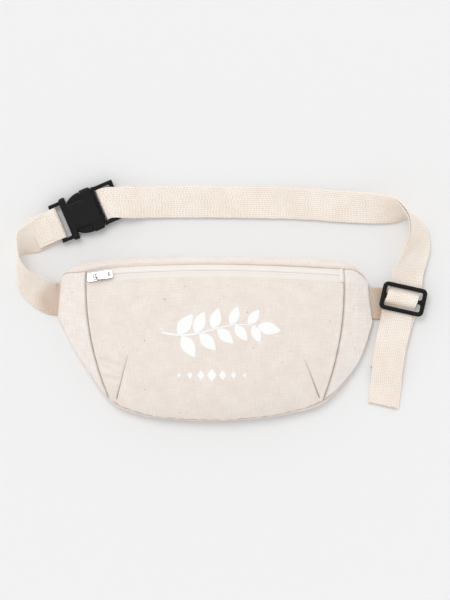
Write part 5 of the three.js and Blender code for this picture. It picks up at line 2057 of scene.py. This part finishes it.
        # Over the fold, square again, down, round the leg's end and up
        out = unit(np.cross(high - low, UP))
        angle = np.linspace(-pi / 2, pi / 2, 7)[:, None]
        shift = self.layer / 2 * (out * np.cos(angle) + UP * (1 + np.sin(angle)))
        second = self.base + self.layer
        share = np.array([0.35, 0.7, 1.0])
        unfold = np.hstack([
            self.turned(lean, half, low_reach - share * MM, second),
            self.turned(lean, -half, lerp(high_reach, low_reach, share), second),
        ])
        level = lerp(second, self.base, share)
        down = self.turned_pairs(lean, lerp(low_reach, -self.fold_reach, share), level)
        bend = np.linspace(-pi / 2, pi / 2, 7)[1:-1]
        level = self.base + self.layer / 2 * (1 + np.sin(bend))
        round_up = self.turned_pairs(lean, -self.fold_reach - self.layer / 2 * np.cos(bend), level)
        share = np.array([0, 0.3, 0.65, 1.0])
        level = lerp(second, second + self.layer, share)
        up = self.turned_pairs(lean, lerp(-self.fold_reach, low_reach, share), level)
        along = np.array([0, self.glide_height / 2])
        under = self.turned_pairs(self.glide_turn, along, second + self.layer)
        fold = np.hstack([low + shift, high + shift])
        return np.vstack([self.in_wing(-1, -1), rows, fold, unfold, down, round_up, up, under])

    def layers(self) -> tuple[Array, Array]:
        """The two layers of the long run, either side of its middle.

        They lie one thickness apart and spread a little at the plug's end.

        Returns:
            Edge pairs of the layer that goes out and of the one that comes back.
        """
        out, up, turn, rise, lift = refined(RIGHT_TURN, 2).T
        x, y = self.glide_at[0] + out * self.reach, self.glide_at[1] + up * self.climb
        run = self.edge_pairs(x, y, self.base + (lift - 0.5) * self.layer, turn, rise)
        station = np.arange(len(run))
        middle = (run[:, :3] + run[:, 3:]) / 2
        ahead = middle[np.minimum(station + 1, len(run) - 1)]
        behind = middle[np.maximum(station - 1, 0)]
        thick = unit(np.cross(ahead - behind, run[:, 3:] - run[:, :3]))
        last = np.maximum(0, station - len(run) + 4)
        spread = (self.layer / 2 * (1 + self.layer_spread * last**2))[:, None]
        shift = np.hstack([thick * spread] * 2)
        return run - shift, (run + shift)[::-1]

    def plug_lead(self, side: int) -> Array:
        """One layer beside the plug, which slews and covers its lower arm.

        Args:
            side: 1 for the layer above the arm, -1 below.

        Returns:
            Edge pairs.
        """
        along, across, turn, clear = PLUG_LEAD.T
        place = self.male_bar + along * (self.buckle_length - self.male_bar)
        aside = (across - 0.5) * self.form.web_width
        turn = np.radians(turn)
        flush = self.plug_arm / 2 + 2 * self.form.gap + self.form.web_thick / 2
        low = self.in_buckle(place, aside, side * lerp(self.loop_rise, flush, clear))
        ahead, wide = self.form.web_width * np.sin(turn), self.form.web_width * np.cos(turn)
        return np.hstack([low, self.in_buckle(place + ahead, aside + wide, side * self.loop_rise)])

    def long_route(self) -> Array:
        """Everything from the right wing to the free end, as one belt."""
        form = self.form
        inner, outer = self.layers()
        low = self.base + 3 * self.layer
        rise = self.glide_level + self.glide_thick / 2 + form.gap + form.web_thick / 2 - low
        slot = self.glide_height / 2 - self.glide_bar / 2
        crown = self.glide_bar / 2
        along = np.linspace(slot, -slot, 17)
        share = np.clip((np.abs(along) - crown) / (slot - 2 * crown), 0, 1)
        height = low + rise * (0.5 + 0.5 * np.cos(pi * share))
        through = self.turned_pairs(self.glide_turn, along, height, np.linspace(0, self.tail_sway, 17))
        share, sway, under = refined(TAIL, 3)[1:].T
        along = -slot - share * (self.tail_length - slot)
        level = self.base + under * self.layer
        tail = self.turned_pairs(self.glide_turn, along, level, self.tail_sway * sway)
        return np.vstack([
            self.hidden_fold(),
            inner[1:],
            self.plug_lead(1)[::-1],
            self.bar_loop(self.male_bar, -1, pi / 2, -pi / 2),
            self.plug_lead(-1),
            outer[:-1],
            through,
            tail,
        ])

    def woven(
        self, route: Array, name: str, material: bpy.types.Material, mouth: int, seed: int
    ) -> bpy.types.Object:
        """Webbing along a route.

        Each station is a flat oval: a superellipse of high power across the
        width and of power four through the thickness. Its edges wander a
        little sideways.

        Args:
            route: Edge pairs.
            name: Name of the piece.
            material: Its finish.
            mouth: Section whose end the strap comes out of.
            seed: Picks the wander.

        Returns:
            The strap.
        """
        pairs = smooth_path(route, self.step)
        low, high = pairs[:, :3], pairs[:, 3:]
        middle = (low + high) / 2
        run = unit(np.gradient(middle, axis=0))
        wide = unit(high - low)
        thick = unit(np.cross(run, wide))
        turn = np.linspace(0, 2 * pi, self.corners, endpoint=False)
        c, s = np.cos(turn), np.sin(turn)
        across = np.sign(c) * np.abs(c) ** self.side_power * self.form.web_width / 2
        up = np.sign(s) * np.abs(s) ** self.face_power * self.form.web_thick / 2
        length = run_length(middle)[:, None]
        edge = across / (self.form.web_width / 2)
        wander = self.wander * undulation(length, edge[None] * 0.02, 26 * MM, seed) * np.abs(edge) ** 3
        beside = wide[:, None] * (across + wander)[..., None]
        rings = middle[:, None] + beside + thick[:, None] * up[None, :, None]
        cloth = np.stack(np.broadcast_arrays(length, across[None]), -1)
        made = tube(rings[None], cloth[None])
        # Painted shadow in the wing's mouth and close to the floor beside it
        end_x = SECTIONS[mouth, 0] * self.form.half
        end = np.array([end_x, self.form.belt_level(end_x)])
        away = np.linalg.norm(rings[..., :2] - end, axis=-1) - self.shade_start
        down = np.clip(1 - rings[..., 2] / self.shade_start, 0, 1)
        made.shade = (0.85 * falloff(np.maximum(away, 0), self.shade_reach) * down).ravel()
        return made.placed(name, material, 60)

    def sewn(self) -> bpy.types.Object:
        """Stitches that hold the returned belt: a box near its cut end."""
        near, far = self.left_bar - self.sewn_start, self.left_bar - self.return_length + self.sewn_stop
        side = self.form.web_width / 2 - self.sewn_inset
        corner = [(near, -side), (near, side), (far, side), (far, -side), (near, -side)]
        share = np.linspace(0, 1, 40)
        rows = []
        for (a, b), (c, d) in zip(corner[:-1], corner[1:]):
            along, across = lerp(a, c, share), lerp(b, d, share)
            fall = (self.left_bar - along) / self.return_length
            level = lerp(self.loop_rise, 0, fall) + self.form.web_thick / 2 + 0.1 * MM
            line = self.in_buckle(along, across, level)
            rows.append(stitch_line(line, np.tile(UP, (len(line), 1)), self.stitch, self.thread_radius))
        return joined(rows).placed("strap_stitches", self.thread.material(self.effects))

    def frayed(self) -> bpy.types.Object:
        """Cut warp threads that stand out of the free end."""
        dice = np.random.default_rng(21)
        count, inset = self.fray_count, 0.6 * MM
        half = self.form.web_width / 2
        across = np.linspace(-half, half, count) * 0.97 + self.tail_sway * TAIL[-1, 1]
        start_up = self.base + dice.uniform(-0.4, 0.4, count) * MM
        reach = dice.uniform(0.4, 1.5, count) * MM + inset
        sway = dice.normal(0, 0.35, count) * MM
        stop_up = self.base + dice.uniform(-0.5, 0.2, count) * MM
        start = self.turned(self.glide_turn, across, -self.tail_length + inset, start_up)
        stop = self.turned(self.glide_turn, across + sway, -self.tail_length - reach, stop_up)
        made = threads(start, stop, np.tile(UP, (count, 1)), self.fray_radius, 0.0)
        return made.placed("frayed_ends", self.thread.material(self.effects))

    def build(self) -> list[bpy.types.Object]:
        """Weaves both straps and sews the returned end."""
        material = self.webbing.material(self.effects)
        left = self.woven(self.left_route(), "strap_left_webbing", material, 0, 5)
        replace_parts(left, "strap_left")
        long = self.woven(self.long_route(), "strap_long_webbing", material, LAST_SECTION, 6)
        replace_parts(long, "strap_long")
        return hung([left, long, self.sewn(), self.frayed()])


@dataclass
class Hardware:
    """The moulded buckle and adjuster."""

    effects: Effects
    grain: float = 0.45 * MM
    passes: int = 8
    plastic: MouldedPlastic = MouldedPlastic("moulded_plastic", rough=0.34, specular=0.12)

    def build(self) -> list[bpy.types.Object]:
        """Rounds and finishes each moulded part."""
        material = self.plastic.material(self.effects)
        names = {
            "buckle_female": "buckle_socket",
            "buckle_male": "buckle_plug",
            "tri_glide": "adjuster_frame",
        }
        pieces = []
        for node, name in names.items():
            piece = moulded(node, name, material, self.grain, self.passes)
            pieces.append(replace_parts(piece, node))
        return hung(pieces)


@dataclass
class Studio:
    """Pale floor, soft light from the top left, and a camera straight above."""

    centre: tuple[float, float] = (9.5 * MM, 37.05 * MM)
    view_height: float = 570 * MM
    camera_up: float = 3.0
    aim_up: float = 12 * MM
    sensor: float = 36.0
    floor_size: float = 6.0
    floor_drop: float = 0.3 * MM
    key: float = 1.0
    key_from: tuple[float, float, float] = (-0.25, 0.5, 1.0)
    key_spread: float = 34.0
    horizon: float = 1.27
    zenith: float = 0.452
    paper: Paper = Paper("studio_paper", rough=0.95, specular=0.2)

    def floor(self) -> None:
        """Lays the floor just under the bag, as stage."""
        bpy.ops.mesh.primitive_plane_add(size=self.floor_size, location=(0, 0, -self.floor_drop))
        floor = bpy.context.object
        floor.name = "floor"
        floor.data.materials.append(self.paper.material())

    def light(self, scene: bpy.types.Scene) -> None:
        """A broad soft key, and a sky that is brighter at the horizon.

        Args:
            scene: The scene to light.
        """
        lamp = bpy.data.lights.new("key", "SUN")
        lamp.energy = self.key
        lamp.angle = radians(self.key_spread)
        sun = bpy.data.objects.new("key", lamp)
        sun.rotation_euler = Vector(self.key_from).to_track_quat("Z", "Y").to_euler()
        scene.collection.objects.link(sun)
        world = bpy.data.worlds.new("studio")
        world.use_nodes = True
        g = Graph(world.node_tree)
        up = g.split(g.node("ShaderNodeTexCoord").outputs["Generated"])[2]
        level = g.node("ShaderNodeMapRange", {0: up, 1: 0.0, 2: 1.0, 3: self.horizon, 4: self.zenith})
        sky = {"Color": (1, 1, 1, 1), "Strength": level.outputs[0]}
        g.fill(world.node_tree.nodes["Background"], sky)
        scene.world = world

    def camera(self, scene: bpy.types.Scene) -> None:
        """A long lens straight above the middle of the view.

        Args:
            scene: The scene that gets the camera.
        """
        data = bpy.data.cameras.new("camera")
        data.sensor_fit = "VERTICAL"
        data.sensor_height = self.sensor
        data.lens = self.sensor * (self.camera_up - self.aim_up) / self.view_height
        data.clip_end = 20
        camera = bpy.data.objects.new("camera", data)
        camera.location = (*self.centre, self.camera_up)
        scene.collection.objects.link(camera)
        scene.camera = camera

    def build(self) -> None:
        """Makes the floor, lights and camera."""
        scene = bpy.context.scene
        scene.view_settings.view_transform = "Standard"
        self.floor()
        self.light(scene)
        self.camera(scene)


def main() -> None:
    """Builds the studio and every sub-assembly in order."""
    logging.basicConfig(level=logging.INFO, format="%(message)s")
    Studio().build()
    form = BagForm()
    effects = Effects()
    bag = Bag(form, effects)
    for part in (bag, Print(bag), Zip(bag), Belt(form, effects), Hardware(effects)):
        for piece in part.build():
            LOG.info("%s: %s, %d faces", type(part).__name__, piece.name, len(piece.data.polygons))


if __name__ == "__main__":
    main()
